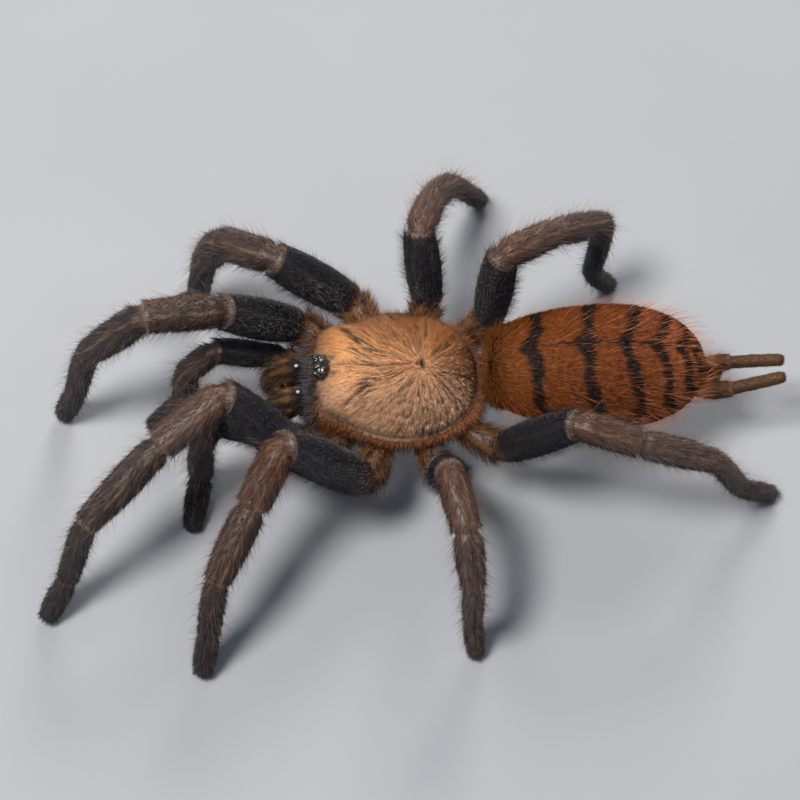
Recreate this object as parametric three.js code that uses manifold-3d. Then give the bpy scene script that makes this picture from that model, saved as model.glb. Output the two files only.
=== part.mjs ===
// A ground-living tarantula that stands on its eight feet, at life size, with a coat of short hair.
// Millimetres, +Z up. The head points to -X and the animal's left side to -Y.
// Every outline runs out to the tips of the dense coat; the floor is at z = 0.

import * as THREE from "three";
import Module from "manifold-3d";
import { mergeVertices } from "three/addons/utils/BufferGeometryUtils.js";

const wasm = await Module();
wasm.setup();

// Driving dimensions
const CARAPACE_LENGTH = 16;
const CARAPACE_WIDTH = 13.4;
const CARAPACE_RISE = 2.8;
const CAPUT_RISE = 0.9;
const CAPUT_X = -4.2;
const CAPUT_SPREAD = 3.2;
const RIM_THICKNESS = 0.5;
const FOVEA_X = 2.4;
const FOVEA_DEPTH = 0.5;
const STANCE_HEIGHT = 11.2;
const STANCE_X = -0.86;
const STANCE_Y = -0.64;
const HEAD_UP = THREE.MathUtils.degToRad(4);
const ABDOMEN_LENGTH = 20;
const ABDOMEN_WIDTH = 12;
const ABDOMEN_DEPTH = 10.2;
const ABDOMEN_CENTRE = new THREE.Vector3(18.3, -0.5, 12.0);
const ABDOMEN_TURN = THREE.MathUtils.degToRad(-4);
const GAP = 0.3;
const LIMB_SIDES = 10;
const CUT_REACH = 2.4;
const FLOOR_PAD_HEIGHT = 0.95;
const JAW_SPACING = 1.5;
const FANG_CONVERGENCE = 0.35;
const EYE_POCKET_CLEARANCE = 0.22;
const FOOT_ROUNDING = 1.0;
const PALP_ROUNDING = 0.9;

// Each pair of walking legs has one set of lengths: femur, patella, tibia, metatarsus, tarsus.
const LEG_LENGTHS = {
  1: [11.3, 7.1, 9.7, 8.2, 4.7],
  2: [10.9, 6.1, 7.3, 7.0, 4.6],
  3: [8.7, 5.4, 5.5, 7.1, 4.3],
  4: [11.0, 5.8, 7.9, 9.3, 4.5],
};
const PALP_LENGTHS = [7.8, 4.8, 5.6, 4.7];
const LEG_STOUTNESS = { 1: 1.05, 2: 1.05, 3: 0.92, 4: 0.95 };

// Where the limbs leave the body, on its right side, measured from the middle of the carapace's rim.
const ROOTS = {
  palp: { inner: [-3.5, 1.7, -2.5], hip: [-9.4, 4.2, -3.0] },
  1: { inner: [-2.3, 2.9, -2.1], hip: [-8.1, 6.8, -1.9] },
  2: { inner: [-0.4, 3.4, -2.1], hip: [-3.0, 9.0, -1.8] },
  3: { inner: [1.5, 3.2, -2.1], hip: [4.0, 8.5, -2.0] },
  4: { inner: [3.3, 2.4, -2.1], hip: [9.4, 6.5, -1.7] },
};

// The pose in degrees. turn is the heading seen from above, from the tail towards the limb's own side,
// and rise is the slope up, for femur, patella, tibia and metatarsus. The tarsus runs down to the floor.
const LEG_POSES = [
  { side: "l", pair: 1, turn: [204, 149, 144, 142], rise: [49, -17, -25, -67] },
  { side: "l", pair: 2, turn: [182, 126, 123, 118], rise: [50, -31, -26, -68] },
  { side: "l", pair: 3, turn: [87, 79, 85, 82], rise: [67, -11, -45, -89] },
  { side: "l", pair: 4, turn: [20, 16, 6, -12], rise: [54, -16, -26, -68] },
  { side: "r", pair: 1, turn: [201, 191, 173, 176], rise: [51, 19, -52, -76] },
  { side: "r", pair: 2, turn: [176, 145, 138, 190], rise: [51, -20, -68, -80] },
  { side: "r", pair: 3, turn: [100, 71, 61, 48], rise: [67, -25, -40, -63] },
  { side: "r", pair: 4, turn: [34, 26, 33, 20], rise: [84, -8, -38, -95] },
];
const PALP_POSES = [
  { side: "l", turn: [184, 165, 160, 105], rise: [31, -70, -86] },
  { side: "r", turn: [190, 186, 188, 192], rise: [36, -50, -86] },
];

// Half-widths of each limb piece with its coat, at its start, middle and end.
const LEG_RADII = {
  coxa: [0.8, 1.5, 1.8],
  femur: [1.7, 2.1, 1.75],
  patella: [1.65, 1.75, 1.6],
  tibia: [1.55, 1.65, 1.35],
  metatarsus: [1.3, 1.3, 1.2],
  tarsus: [1.2, 1.25, 1.15],
};
const PALP_RADII = {
  coxa: [0.7, 0.82, 1.0],
  femur: [1.05, 1.33, 1.3],
  patella: [1.3, 1.4, 1.3],
  tibia: [1.3, 1.45, 1.3],
  tarsus: [1.3, 1.35, 1.1],
};

// Colours and surfaces
const COLOURS = {
  goldenShell: 0xb07a45,
  rustCoat: 0x8a4a1e,
  blackCoat: 0x16161c,
  brownCoat: 0x5b4339,
  fawnCoat: 0x7a5636,
  darkSpinneret: 0x4a2c18,
  hornBlack: 0x120c0a,
  eyeBlack: 0x0a0a0c,
  darkPlate: 0x2a1f1b,
};

function surface(colour, roughness) {
  return new THREE.MeshStandardMaterial({ color: colour, roughness, metalness: 0 });
}

// Geometry from rings of points, with both ends closed by a fan.
function loft(rings) {
  const sides = rings[0].length;
  const points = rings.flat();
  const faces = [];
  for (let r = 0; r + 1 < rings.length; r += 1) {
    for (let k = 0; k < sides; k += 1) {
      const a = r * sides + k;
      const b = r * sides + ((k + 1) % sides);
      faces.push(a, b, a + sides, b, b + sides, a + sides);
    }
  }
  const first = points.length;
  points.push(middleOf(rings[0]), middleOf(rings.at(-1)));
  const lastRing = (rings.length - 1) * sides;
  for (let k = 0; k < sides; k += 1) {
    const next = (k + 1) % sides;
    faces.push(first, next, k);
    faces.push(first + 1, lastRing + k, lastRing + next);
  }
  const geometry = new THREE.BufferGeometry();
  geometry.setFromPoints(points);
  geometry.setIndex(enclosedVolume(points, faces) < 0 ? faces.toReversed() : faces);
  return geometry;
}

// Six times the signed volume, which is negative when the faces point inwards.
function enclosedVolume(points, faces) {
  let volume = 0;
  for (let f = 0; f < faces.length; f += 3) {
    const [a, b, c] = faces.slice(f, f + 3).map((index) => points[index]);
    volume += a.dot(b.clone().cross(c));
  }
  return volume;
}

function middleOf(ring) {
  const sum = new THREE.Vector3();
  ring.forEach((point) => sum.add(point));
  return sum.divideScalar(ring.length);
}

function named(name, geometry, material, at = new THREE.Vector3()) {
  geometry.translate(-at.x, -at.y, -at.z);
  geometry.computeVertexNormals();
  const mesh = new THREE.Mesh(geometry, material);
  mesh.name = name;
  mesh.position.copy(at);
  return mesh;
}

function toManifold(geometry) {
  const bare = geometry.clone();
  bare.deleteAttribute("normal");
  bare.deleteAttribute("uv");
  const merged = mergeVertices(bare, 1e-4);
  const vertProperties = Float32Array.from(merged.attributes.position.array);
  const triVerts = Uint32Array.from(merged.index.array);
  return new wasm.Manifold(new wasm.Mesh({ numProp: 3, vertProperties, triVerts }));
}

function toGeometry(solid) {
  const mesh = solid.getMesh();
  const geometry = new THREE.BufferGeometry();
  geometry.setAttribute("position", new THREE.BufferAttribute(new Float32Array(mesh.vertProperties), 3));
  geometry.setIndex(new THREE.BufferAttribute(new Uint32Array(mesh.triVerts), 1));
  return geometry;
}

// A quadratic through three half-widths, at t = 0, 0.5 and 1.
function widthAt([start, middle, end], t) {
  const bulge = 4 * middle - 2 * (start + end);
  return start + (end - start) * t + bulge * t * (1 - t);
}

function heading(turnDegrees, riseDegrees, side) {
  const turn = THREE.MathUtils.degToRad(turnDegrees);
  const rise = THREE.MathUtils.degToRad(riseDegrees);
  const out = side === "l" ? -1 : 1;
  return new THREE.Vector3(
    Math.cos(rise) * Math.cos(turn),
    out * Math.cos(rise) * Math.sin(turn),
    Math.sin(rise),
  );
}

// One straight piece of limb. Its ends are cut on the planes that halve the bends to its neighbours,
// and the cut fades along the piece, so that a bent limb reads as one tube parted by thin gaps.
function limbPiece({ from, to, across, startCut, endCut, radii, stout, steps }) {
  const along = to.clone().sub(from);
  const length = along.length();
  along.normalize();
  const up = along.clone().cross(across);
  const rings = [];
  for (let i = 0; i <= steps; i += 1) {
    const t = i / steps;
    const radius = widthAt(radii, t) * stout;
    const centreAt = GAP / 2 + t * (length - GAP);
    rings.push(
      ringAngles(LIMB_SIDES).map((angle) => {
        const offset = across.clone().multiplyScalar(radius * Math.cos(angle));
        offset.addScaledVector(up, radius * Math.sin(angle));
        const slide =
          cutSlide(offset, along, startCut) * fade(centreAt, radius) +
          cutSlide(offset, along, endCut) * fade(length - centreAt, radius);
        return from.clone().addScaledVector(along, centreAt + slide).add(offset);
      }),
    );
  }
  return rings;
}

function ringAngles(sides) {
  return Array.from({ length: sides }, (_, k) => (2 * Math.PI * k) / sides);
}

function cutSlide(offset, along, cut) {
  return cut ? -offset.dot(cut) / along.dot(cut) : 0;
}

function fade(distance, radius) {
  return Math.max(0, 1 - Math.max(0, distance - GAP / 2) / (CUT_REACH * radius));
}

// Rings that round off the end of a limb.
function roundedTip(rings, reach) {
  const last = rings.at(-1);
  const centre = middleOf(last);
  const before = middleOf(rings.at(-2));
  const along = centre.clone().sub(before).normalize();
  const tip = [0.45, 0.75, 0.95].map((t) => {
    const shrink = Math.sqrt(1 - t * t);
    return last.map((point) =>
      point.clone().sub(centre).multiplyScalar(shrink).add(centre).addScaledVector(along, reach * t),
    );
  });
  return [...rings, ...tip];
}

// Whatever would sink below the floor is pressed into a small flat on it.
function pressToFloor(rings) {
  rings.flat().forEach((point) => {
    point.z = Math.max(point.z, 0);
  });
  return rings;
}

function bisector(a, b) {
  return a.clone().add(b).normalize();
}

// Carapace: a domed plate on an oval rim, highest at the head, with a pit where the grooves meet.
const rimCurve = new THREE.SplineCurve([
  new THREE.Vector2(-8.0, 0),
  new THREE.Vector2(-7.9, 2.6),
  new THREE.Vector2(-7.3, 4.2),
  new THREE.Vector2(-4.6, 5.4),
  new THREE.Vector2(-0.4, CARAPACE_WIDTH / 2),
  new THREE.Vector2(3.6, 6.3),
  new THREE.Vector2(6.6, 4.2),
  new THREE.Vector2(7.8, 1.8),
  new THREE.Vector2(CARAPACE_LENGTH / 2, 0),
]);

// inward runs from 0 on the rim to 1 on the pit. The head stands up steeply from its front edge.
function domeHeight(x, inward) {
  const caput = CAPUT_RISE * Math.exp(-(((x - CAPUT_X) / CAPUT_SPREAD) ** 2));
  const rear = 1 - 0.3 * THREE.MathUtils.smoothstep(x, 1, 8);
  const steepness = 2.4 + 8.5 * THREE.MathUtils.smoothstep(-x, 3, 7.5);
  const profile = (1 - (1 - inward) ** steepness) ** 0.75;
  const pit = FOVEA_DEPTH * THREE.MathUtils.smoothstep(inward, 0.88, 0.95);
  return (CARAPACE_RISE + caput) * rear * profile - pit;
}

function carapaceGeometry() {
  const half = rimCurve.getPoints(15);
  const rim = [...half, ...half.slice(1, -1).reverse().map((p) => new THREE.Vector2(p.x, -p.y))];
  const fovea = new THREE.Vector2(FOVEA_X, 0);
  const levels = [0, 0.04, 0.12, 0.28, 0.52, 0.76, 0.9, 0.96];
  const rings = levels.map((inward) =>
    rim.map((point) => {
      const flat = point.clone().lerp(fovea, inward);
      return new THREE.Vector3(flat.x, flat.y, RIM_THICKNESS + domeHeight(flat.x, inward));
    }),
  );
  const underside = rim.map((point) => new THREE.Vector3(point.x, point.y, 0));
  const inset = rim.map((point) => new THREE.Vector3(point.x * 0.97, point.y * 0.97, 0));
  return loft([inset, underside, ...rings]);
}

const EYE_SEAT = new THREE.Vector3(-6.7, 0, 3.15);
const EYE_MOUND = new THREE.Vector3(0.95, 1.3, 0.95);

function mound(radii, centre, sides = 14) {
  const ball = new THREE.SphereGeometry(1, sides, 8);
  ball.scale(radii.x, radii.y, radii.z);
  ball.translate(centre.x, centre.y, centre.z);
  return toManifold(ball);
}

// Eight eyes in two rows of four; the front middle pair is round, the outer ones are oval.
const EYES = [
  { x: -0.45, y: 0.38, z: 0.66, size: 0.3 },
  { x: -0.6, y: 0.98, z: 0.32, size: 0.3 },
  { x: 0.12, y: 0.95, z: 0.5, size: 0.24 },
  { x: 0.2, y: 0.5, z: 0.72, size: 0.19 },
];

function eyeTubercleSolid() {
  let solid = mound(EYE_MOUND, EYE_SEAT);
  for (const eye of EYES) {
    for (const side of [-1, 1]) {
      const ball = new THREE.SphereGeometry(eye.size, 8, 6);
      ball.translate(EYE_SEAT.x + eye.x, side * eye.y, EYE_SEAT.z + eye.z);
      solid = solid.add(toManifold(ball));
    }
  }
  return solid;
}

function seatedCarapace() {
  const pocket = EYE_MOUND.clone().addScalar(EYE_POCKET_CLEARANCE);
  return toGeometry(toManifold(carapaceGeometry()).subtract(mound(pocket, EYE_SEAT)));
}

// Sternum: the plate under the body, with the lip in front, in the ring of coxae.
function sternumGeometry() {
  const outline = ringAngles(20).map((angle) => {
    const nose = Math.max(0, -Math.cos(angle)) ** 6 * 0.7;
    return new THREE.Vector2((2.9 + nose) * Math.cos(angle) + 0.1, 2.2 * Math.sin(angle));
  });
  const levels = [
    [0.8, -4.25],
    [0.97, -4.0],
    [1, -3.6],
    [1, -0.7],
    [0.94, -0.45],
  ];
  const rings = levels.map(([scale, z]) =>
    outline.map((point) => new THREE.Vector3(point.x * scale, point.y * scale, z)),
  );
  return loft(rings);
}

// Chelicera: a stout arched joint in front of the carapace, with the fang folded under it.
function archedLoft(stations, sides) {
  return loft(
    stations.map(({ x, y, z, wide, tall, lean }) =>
      ringAngles(sides).map((angle) => {
        const rise = tall * Math.sin(angle);
        return new THREE.Vector3(
          x + rise * Math.sin(lean),
          y + wide * Math.cos(angle),
          z + rise * Math.cos(lean),
        );
      }),
    ),
  );
}

function cheliceraGeometry(out) {
  const y = out * JAW_SPACING;
  return archedLoft(
    [
      { x: -7.3, y, z: -1.5, wide: 0.8, tall: 0.9, lean: 0 },
      { x: -8.05, y, z: -1.4, wide: 1.05, tall: 1.05, lean: 0 },
      { x: -8.55, y, z: -0.75, wide: 1.22, tall: 1.7, lean: -0.05 },
      { x: -9.4, y, z: -0.8, wide: 1.28, tall: 1.95, lean: -0.25 },
      { x: -10.1, y, z: -1.5, wide: 1.25, tall: 1.85, lean: -0.6 },
      { x: -10.5, y, z: -2.5, wide: 1.15, tall: 1.65, lean: -0.95 },
      { x: -10.6, y, z: -3.6, wide: 1.0, tall: 1.35, lean: -1.25 },
      { x: -10.6, y, z: -4.3, wide: 0.7, tall: 0.95, lean: -1.4 },
    ],
    12,
  );
}

// Fang: a curved horn that starts under the chelicera and folds back beneath it.
function fangGeometry(out) {
  const reach = 3.4;
  const drop = 1.8;
  const curl = THREE.MathUtils.degToRad(75);
  const stations = [0, 0.25, 0.5, 0.75, 1].map((t) => {
    const sweep = t * curl;
    const radius = 0.5 - 0.24 * t;
    return {
      x: -10.7 + reach * (1 - Math.cos(sweep)),
      y: out * (JAW_SPACING - FANG_CONVERGENCE * t),
      z: -4.75 - drop * Math.sin(sweep),
      wide: radius,
      tall: radius,
      lean: -Math.PI / 2 - Math.atan2(reach * Math.sin(sweep), drop * Math.cos(sweep)),
    };
  });
  return archedLoft(stations, 8);
}

// Abdomen: an egg a little fuller behind, with the two short spinnerets joined under its tip.
// Each station is a place along its length, from -1 to 1, and its share of the full width there.
const ABDOMEN_STATIONS = [
  [-1, 0.3],
  [-0.98, 0.46],
  [-0.93, 0.58],
  [-0.82, 0.7],
  [-0.66, 0.81],
  [-0.45, 0.9],
  [-0.2, 0.97],
  [0.05, 1],
  [0.28, 0.99],
  [0.48, 0.93],
  [0.65, 0.83],
  [0.79, 0.69],
  [0.89, 0.53],
  [0.96, 0.36],
  [1, 0.16],
];

function abdomenGeometry() {
  return loft(
    ABDOMEN_STATIONS.map(([place, fullness]) =>
      ringAngles(20).map(
        (angle) =>
          new THREE.Vector3(
            (place * ABDOMEN_LENGTH) / 2,
            (fullness * ABDOMEN_WIDTH * Math.cos(angle)) / 2,
            (fullness * ABDOMEN_DEPTH * Math.sin(angle)) / 2,
          ),
      ),
    ),
  );
}

// A rod through a list of points, with its own radius at each.
function rod(points, radii, sides) {
  const centres = points.map((p) => new THREE.Vector3(...p));
  const rings = centres.map((centre, i) => {
    const before = centres[Math.max(0, i - 1)];
    const after = centres[Math.min(centres.length - 1, i + 1)];
    const along = after.clone().sub(before).normalize();
    const across = new THREE.Vector3(0, 0, 1).cross(along).normalize();
    const up = along.clone().cross(across);
    return ringAngles(sides).map((angle) =>
      centre
        .clone()
        .addScaledVector(across, radii[i] * Math.cos(angle))
        .addScaledVector(up, radii[i] * Math.sin(angle)),
    );
  });
  return loft(rings);
}

const abdomenPlace = new THREE.Matrix4()
  .makeTranslation(ABDOMEN_CENTRE.x, ABDOMEN_CENTRE.y, ABDOMEN_CENTRE.z)
  .multiply(new THREE.Matrix4().makeRotationZ(ABDOMEN_TURN));

function abdomenSolid() {
  const tailKnob = mound(new THREE.Vector3(1.3, 0.6, 0.65), new THREE.Vector3(10.1, 0, -1.3), 8);
  let solid = toManifold(abdomenGeometry()).add(tailKnob);
  for (const out of [-1, 1]) {
    const short = rod([[8.4, out * 0.5, -2.6], [9.8, out * 0.45, -3.0]], [0.45, 0.35], 6);
    solid = solid.add(toManifold(short));
  }
  return toGeometry(solid);
}

// Long spinneret: three joints that taper and lift towards the tip.
function longSpinneret(out) {
  return rod(
    [
      [10.1, out * 1.3, -2.65],
      [10.9, out * 1.35, -2.5],
      [12.1, out * 1.35, -2.2],
      [12.6, out * 1.3, -2.1],
      [14.7, out * 1.1, -1.45],
      [16.5, out * 0.9, -0.95],
      [17.1, out * 0.85, -0.8],
    ],
    [0.75, 0.9, 0.85, 0.7, 0.7, 0.62, 0.35],
    8,
  );
}

// The prosoma is one group, turned so that the head is a little up.
const spider = new THREE.Group();
spider.position.set(STANCE_X, STANCE_Y, 0);
const prosoma = new THREE.Group();
prosoma.position.z = STANCE_HEIGHT;
prosoma.rotation.y = HEAD_UP;
spider.add(prosoma);
prosoma.updateMatrix();

prosoma.add(named("carapace", seatedCarapace(), surface(COLOURS.goldenShell, 0.75)));
prosoma.add(named("eye_tubercle", toGeometry(eyeTubercleSolid()), surface(COLOURS.eyeBlack, 0.2)));
prosoma.add(named("sternum", sternumGeometry(), surface(COLOURS.darkPlate, 0.8)));
for (const [side, out] of [["l", -1], ["r", 1]]) {
  prosoma.add(named(`chelicera_${side}`, cheliceraGeometry(out), surface(COLOURS.fawnCoat, 0.8)));
  prosoma.add(named(`fang_${side}`, fangGeometry(out), surface(COLOURS.hornBlack, 0.25)));
}
const pedicel = rod([[5.6, 0, -1.5], [6.9, 0, -1.4], [8.1, 0, -1.3]], [0.9, 0.75, 0.75], 10);
prosoma.add(named("pedicel", pedicel, surface(COLOURS.darkPlate, 0.8)));

const opisthosoma = new THREE.Group();
opisthosoma.applyMatrix4(abdomenPlace);
opisthosoma.add(named("abdomen", abdomenSolid(), surface(COLOURS.rustCoat, 0.85)));
for (const [side, out] of [["l", -1], ["r", 1]]) {
  opisthosoma.add(named(`spinneret_${side}`, longSpinneret(out), surface(COLOURS.darkSpinneret, 0.7)));
}
spider.add(opisthosoma);

function onBody([x, y, z], side) {
  return new THREE.Vector3(x, side === "l" ? -y : y, z).applyMatrix4(prosoma.matrix);
}

// Joint centres from the inner end of the coxa to the tip of the tarsus.
function jointCentres(root, lengths, pose) {
  const centres = [onBody(root.inner, pose.side), onBody(root.hip, pose.side)];
  lengths.forEach((length, i) => {
    const start = centres.at(-1);
    const toFloor = (FLOOR_PAD_HEIGHT - start.z) / length;
    const isTarsus = i === lengths.length - 1;
    const rise = isTarsus ? THREE.MathUtils.radToDeg(Math.asin(toFloor)) : pose.rise[i];
    const turn = pose.turn[Math.min(i, pose.turn.length - 1)];
    centres.push(start.clone().addScaledVector(heading(turn, rise, pose.side), length));
  });
  return centres;
}

// The sideways direction is carried from piece to piece, so that the rings of neighbours line up.
function limbRings(centres, names, radii, stout) {
  const directions = centres.slice(1).map((centre, i) => centre.clone().sub(centres[i]).normalize());
  const sideways = [new THREE.Vector3(0, 0, 1).cross(directions[0]).normalize()];
  directions.slice(1).forEach((along) => {
    const before = sideways.at(-1);
    sideways.push(before.clone().addScaledVector(along, -before.dot(along)).normalize());
  });
  return names.map((name, i) =>
    limbPiece({
      from: centres[i],
      to: centres[i + 1],
      across: sideways[i],
      stout,
      startCut: i > 0 ? bisector(directions[i - 1], directions[i]) : null,
      endCut: i + 1 < names.length ? bisector(directions[i], directions[i + 1]) : null,
      radii: radii[name],
      steps: name === "femur" ? 5 : 4,
    }),
  );
}

function walkingLeg(pose) {
  const names = ["coxa", "femur", "patella", "tibia", "metatarsus", "tarsus"];
  const centres = jointCentres(ROOTS[pose.pair], LEG_LENGTHS[pose.pair], pose);
  const pieces = limbRings(centres, names, LEG_RADII, LEG_STOUTNESS[pose.pair]);
  const [coxa, femur, patella, tibia, metatarsus, tarsus] = pieces;
  const foot = pressToFloor([...metatarsus.slice(0, -1), ...roundedTip(tarsus, FOOT_ROUNDING)]);
  const tag = `${pose.side}${pose.pair}`;
  return [
    named(`coxa_${tag}`, loft(coxa), surface(COLOURS.fawnCoat, 0.85), centres[0]),
    named(`femur_${tag}`, loft(femur), surface(COLOURS.blackCoat, 0.6), centres[1]),
    named(`patella_${tag}`, loft(patella), surface(COLOURS.brownCoat, 0.8), centres[2]),
    named(`tibia_${tag}`, loft(tibia), surface(COLOURS.brownCoat, 0.8), centres[3]),
    named(`foot_${tag}`, loft(foot), surface(COLOURS.brownCoat, 0.8), centres[4]),
  ];
}

function palp(pose) {
  const names = ["coxa", "femur", "patella", "tibia", "tarsus"];
  const centres = jointCentres(ROOTS.palp, PALP_LENGTHS, pose);
  const [coxa, femur, patella, tibia, tarsus] = limbRings(centres, names, PALP_RADII, 1);
  const shin = [...patella.slice(0, -1), ...tibia.slice(1)];
  const tip = pressToFloor(roundedTip(tarsus, PALP_ROUNDING));
  const tag = pose.side;
  return [
    named(`palp_coxa_${tag}`, loft(coxa), surface(COLOURS.fawnCoat, 0.85), centres[0]),
    named(`palp_femur_${tag}`, loft(femur), surface(COLOURS.blackCoat, 0.6), centres[1]),
    named(`palp_shin_${tag}`, loft(shin), surface(COLOURS.brownCoat, 0.8), centres[2]),
    named(`palp_tip_${tag}`, loft(tip), surface(COLOURS.brownCoat, 0.8), centres[4]),
  ];
}

LEG_POSES.forEach((pose) => spider.add(...walkingLeg(pose)));
PALP_POSES.forEach((pose) => spider.add(...palp(pose)));

export default spider;
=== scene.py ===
"""A life-size tarantula on its feet: skins, a coat of tufts and setae, eyes, fangs and spinnerets."""

import math

import bpy
import numpy as np
from mathutils import Matrix, Vector


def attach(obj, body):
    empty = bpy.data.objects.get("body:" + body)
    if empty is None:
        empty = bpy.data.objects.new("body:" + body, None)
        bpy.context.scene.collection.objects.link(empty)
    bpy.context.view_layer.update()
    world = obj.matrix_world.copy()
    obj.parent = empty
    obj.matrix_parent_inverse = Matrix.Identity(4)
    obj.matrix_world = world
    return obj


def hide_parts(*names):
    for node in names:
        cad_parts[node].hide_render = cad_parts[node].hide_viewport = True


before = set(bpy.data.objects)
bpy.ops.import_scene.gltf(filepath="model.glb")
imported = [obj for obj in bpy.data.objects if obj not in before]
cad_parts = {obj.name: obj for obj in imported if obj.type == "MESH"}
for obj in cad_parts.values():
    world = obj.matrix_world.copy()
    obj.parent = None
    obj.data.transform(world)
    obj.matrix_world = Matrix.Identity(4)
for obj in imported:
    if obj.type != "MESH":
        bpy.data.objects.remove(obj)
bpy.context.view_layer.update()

MM = 0.001

# ---------------------------------------------------------------- driving dimensions, in millimetres

CARAPACE_LENGTH, CARAPACE_WIDTH, CARAPACE_RISE = 16.0, 13.4, 2.8
CAPUT_RISE, CAPUT_X, CAPUT_SPREAD = 0.9, -4.2, 3.2
RIM_THICKNESS, FOVEA_X, FOVEA_DEPTH = 0.5, 2.4, 0.5
STANCE = np.array([-0.86, -0.64, 11.2])
HEAD_UP = math.radians(4)
ABDOMEN_LENGTH, ABDOMEN_WIDTH, ABDOMEN_DEPTH = 20.0, 12.0, 10.2
ABDOMEN_CENTRE = np.array([18.3, -0.5, 12.0])
ABDOMEN_TURN = math.radians(-4)
EYE_SEAT = np.array([-6.7, 0.0, 3.15])
FLOOR_PAD_HEIGHT = 0.95
COAT_DEPTH = 0.36
OUT = {"l": -1, "r": 1}  # which way along y each side lies

LEG_LENGTHS = {
    1: [11.3, 7.1, 9.7, 8.2, 4.7],
    2: [10.9, 6.1, 7.3, 7.0, 4.6],
    3: [8.7, 5.4, 5.5, 7.1, 4.3],
    4: [11.0, 5.8, 7.9, 9.3, 4.5],
}
LEG_NODES = ("coxa", "femur", "patella", "tibia", "foot")
PALP_NODES = ("coxa", "femur", "shin", "tip")
PALP_LENGTHS = [7.8, 4.8, 5.6, 4.7]
LEG_STOUTNESS = {1: 1.05, 2: 1.05, 3: 0.92, 4: 0.95}
ROOTS = {
    "palp": ([-3.5, 1.7, -2.5], [-9.4, 4.2, -3.0]),
    1: ([-2.3, 2.9, -2.1], [-8.1, 6.8, -1.9]),
    2: ([-0.4, 3.4, -2.1], [-3.0, 9.0, -1.8]),
    3: ([1.5, 3.2, -2.1], [4.0, 8.5, -2.0]),
    4: ([3.3, 2.4, -2.1], [9.4, 6.5, -1.7]),
}
# turn is the heading seen from above, from the tail towards the limb's own side; rise is the slope up.
LEG_POSES = [
    ("l", 1, [204, 149, 144, 142], [49, -17, -25, -67]),
    ("l", 2, [182, 126, 123, 118], [50, -31, -26, -68]),
    ("l", 3, [87, 79, 85, 82], [67, -11, -45, -89]),
    ("l", 4, [20, 16, 6, -12], [54, -16, -26, -68]),
    ("r", 1, [201, 191, 173, 176], [51, 19, -52, -76]),
    ("r", 2, [176, 145, 138, 190], [51, -20, -68, -80]),
    ("r", 3, [100, 71, 61, 48], [67, -25, -40, -63]),
    ("r", 4, [34, 26, 33, 20], [84, -8, -38, -95]),
]
PALP_POSES = [
    ("l", [184, 165, 160, 105], [31, -70, -86]),
    ("r", [190, 186, 188, 192], [36, -50, -86]),
]
LEG_RADII = [
    (0.8, 1.5, 1.8), (1.7, 2.1, 1.75), (1.65, 1.75, 1.6),
    (1.55, 1.65, 1.35), (1.3, 1.3, 1.2), (1.2, 1.25, 1.15),
]
PALP_RADII = [
    (0.7, 0.95, 1.15), (1.2, 1.5, 1.4), (1.3, 1.4, 1.3),
    (1.3, 1.45, 1.3), (1.3, 1.35, 1.1),
]


# ---------------------------------------------------------------- small sums

def unit(v):
    return v / np.maximum(np.linalg.norm(v, axis=-1, keepdims=True), 1e-9)


def smooth(low, high, x):
    t = np.clip((x - low) / (high - low), 0, 1)
    return t * t * (3 - 2 * t)


def hump(x, middle, spread):
    return np.exp(-(((x - middle) / spread) ** 2))


def mottle(points, size, seed, waves=14):
    """Soft blotches from -1 to 1 about size millimetres across."""
    rng = np.random.default_rng(seed)
    directions = unit(rng.normal(size=(waves, points.shape[-1])))
    pitch = size * rng.uniform(0.7, 1.6, waves)
    phase = rng.uniform(0, 2 * math.pi, waves)
    total = np.sin(points @ directions.T * (2 * math.pi / pitch) + phase).sum(-1)
    return np.clip(total / (0.9 * math.sqrt(waves)), -1, 1)


def blotchy(points, size, seed):
    """The shade of a skin: light and dark blotches round a half."""
    return 0.5 + 0.3 * mottle(points, size, seed)


def turned(across, up, angle):
    c, s = math.cos(angle), math.sin(angle)
    return across * c - up * s, across * s + up * c


def from_prosoma(points):
    """Points of the head and its shield, from their own frame to the stance."""
    x, y, z = np.moveaxis(np.asarray(points, float), -1, 0)
    x, z = turned(x, z, -HEAD_UP)
    return np.stack([x, y, z], -1) + STANCE


def from_abdomen(points):
    """Points of the abdomen, from their own frame to the stance."""
    x, y, z = np.moveaxis(np.asarray(points, float), -1, 0)
    x, y = turned(x, y, ABDOMEN_TURN)
    return np.stack([x, y, z], -1) + ABDOMEN_CENTRE + STANCE * [1, 1, 0]


def curve_through(padded, t):
    """The smooth curve through all but the first and last row of padded, at the running numbers t."""
    i = np.minimum(t.astype(int), len(padded) - 4)
    f = (t - i)[:, None]
    p0, p1, p2, p3 = (padded[i + step] for step in range(4))
    square = (2 * p0 - 5 * p1 + 4 * p2 - p3) * f**2
    cube = (3 * p1 - p0 - 3 * p2 + p3) * f**3
    return 0.5 * (2 * p1 + (p2 - p0) * f + square + cube)


def resample(stations, count):
    """Smooth values between stations, by their running number."""
    table = np.asarray(stations, float)
    padded = np.vstack([2 * table[0] - table[1], table, 2 * table[-1] - table[-2]])
    return curve_through(padded, np.linspace(0, len(table) - 1, count))


# ---------------------------------------------------------------- finishes

def linear(hex_colour):
    """An sRGB hex value as linear RGBA."""
    value = int(hex_colour.lstrip("#"), 16)
    channels = [(value >> shift & 255) / 255 for shift in (16, 8, 0)]
    return [c / 12.92 if c <= 0.04045 else ((c + 0.055) / 1.055) ** 2.4 for c in channels] + [1.0]


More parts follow.
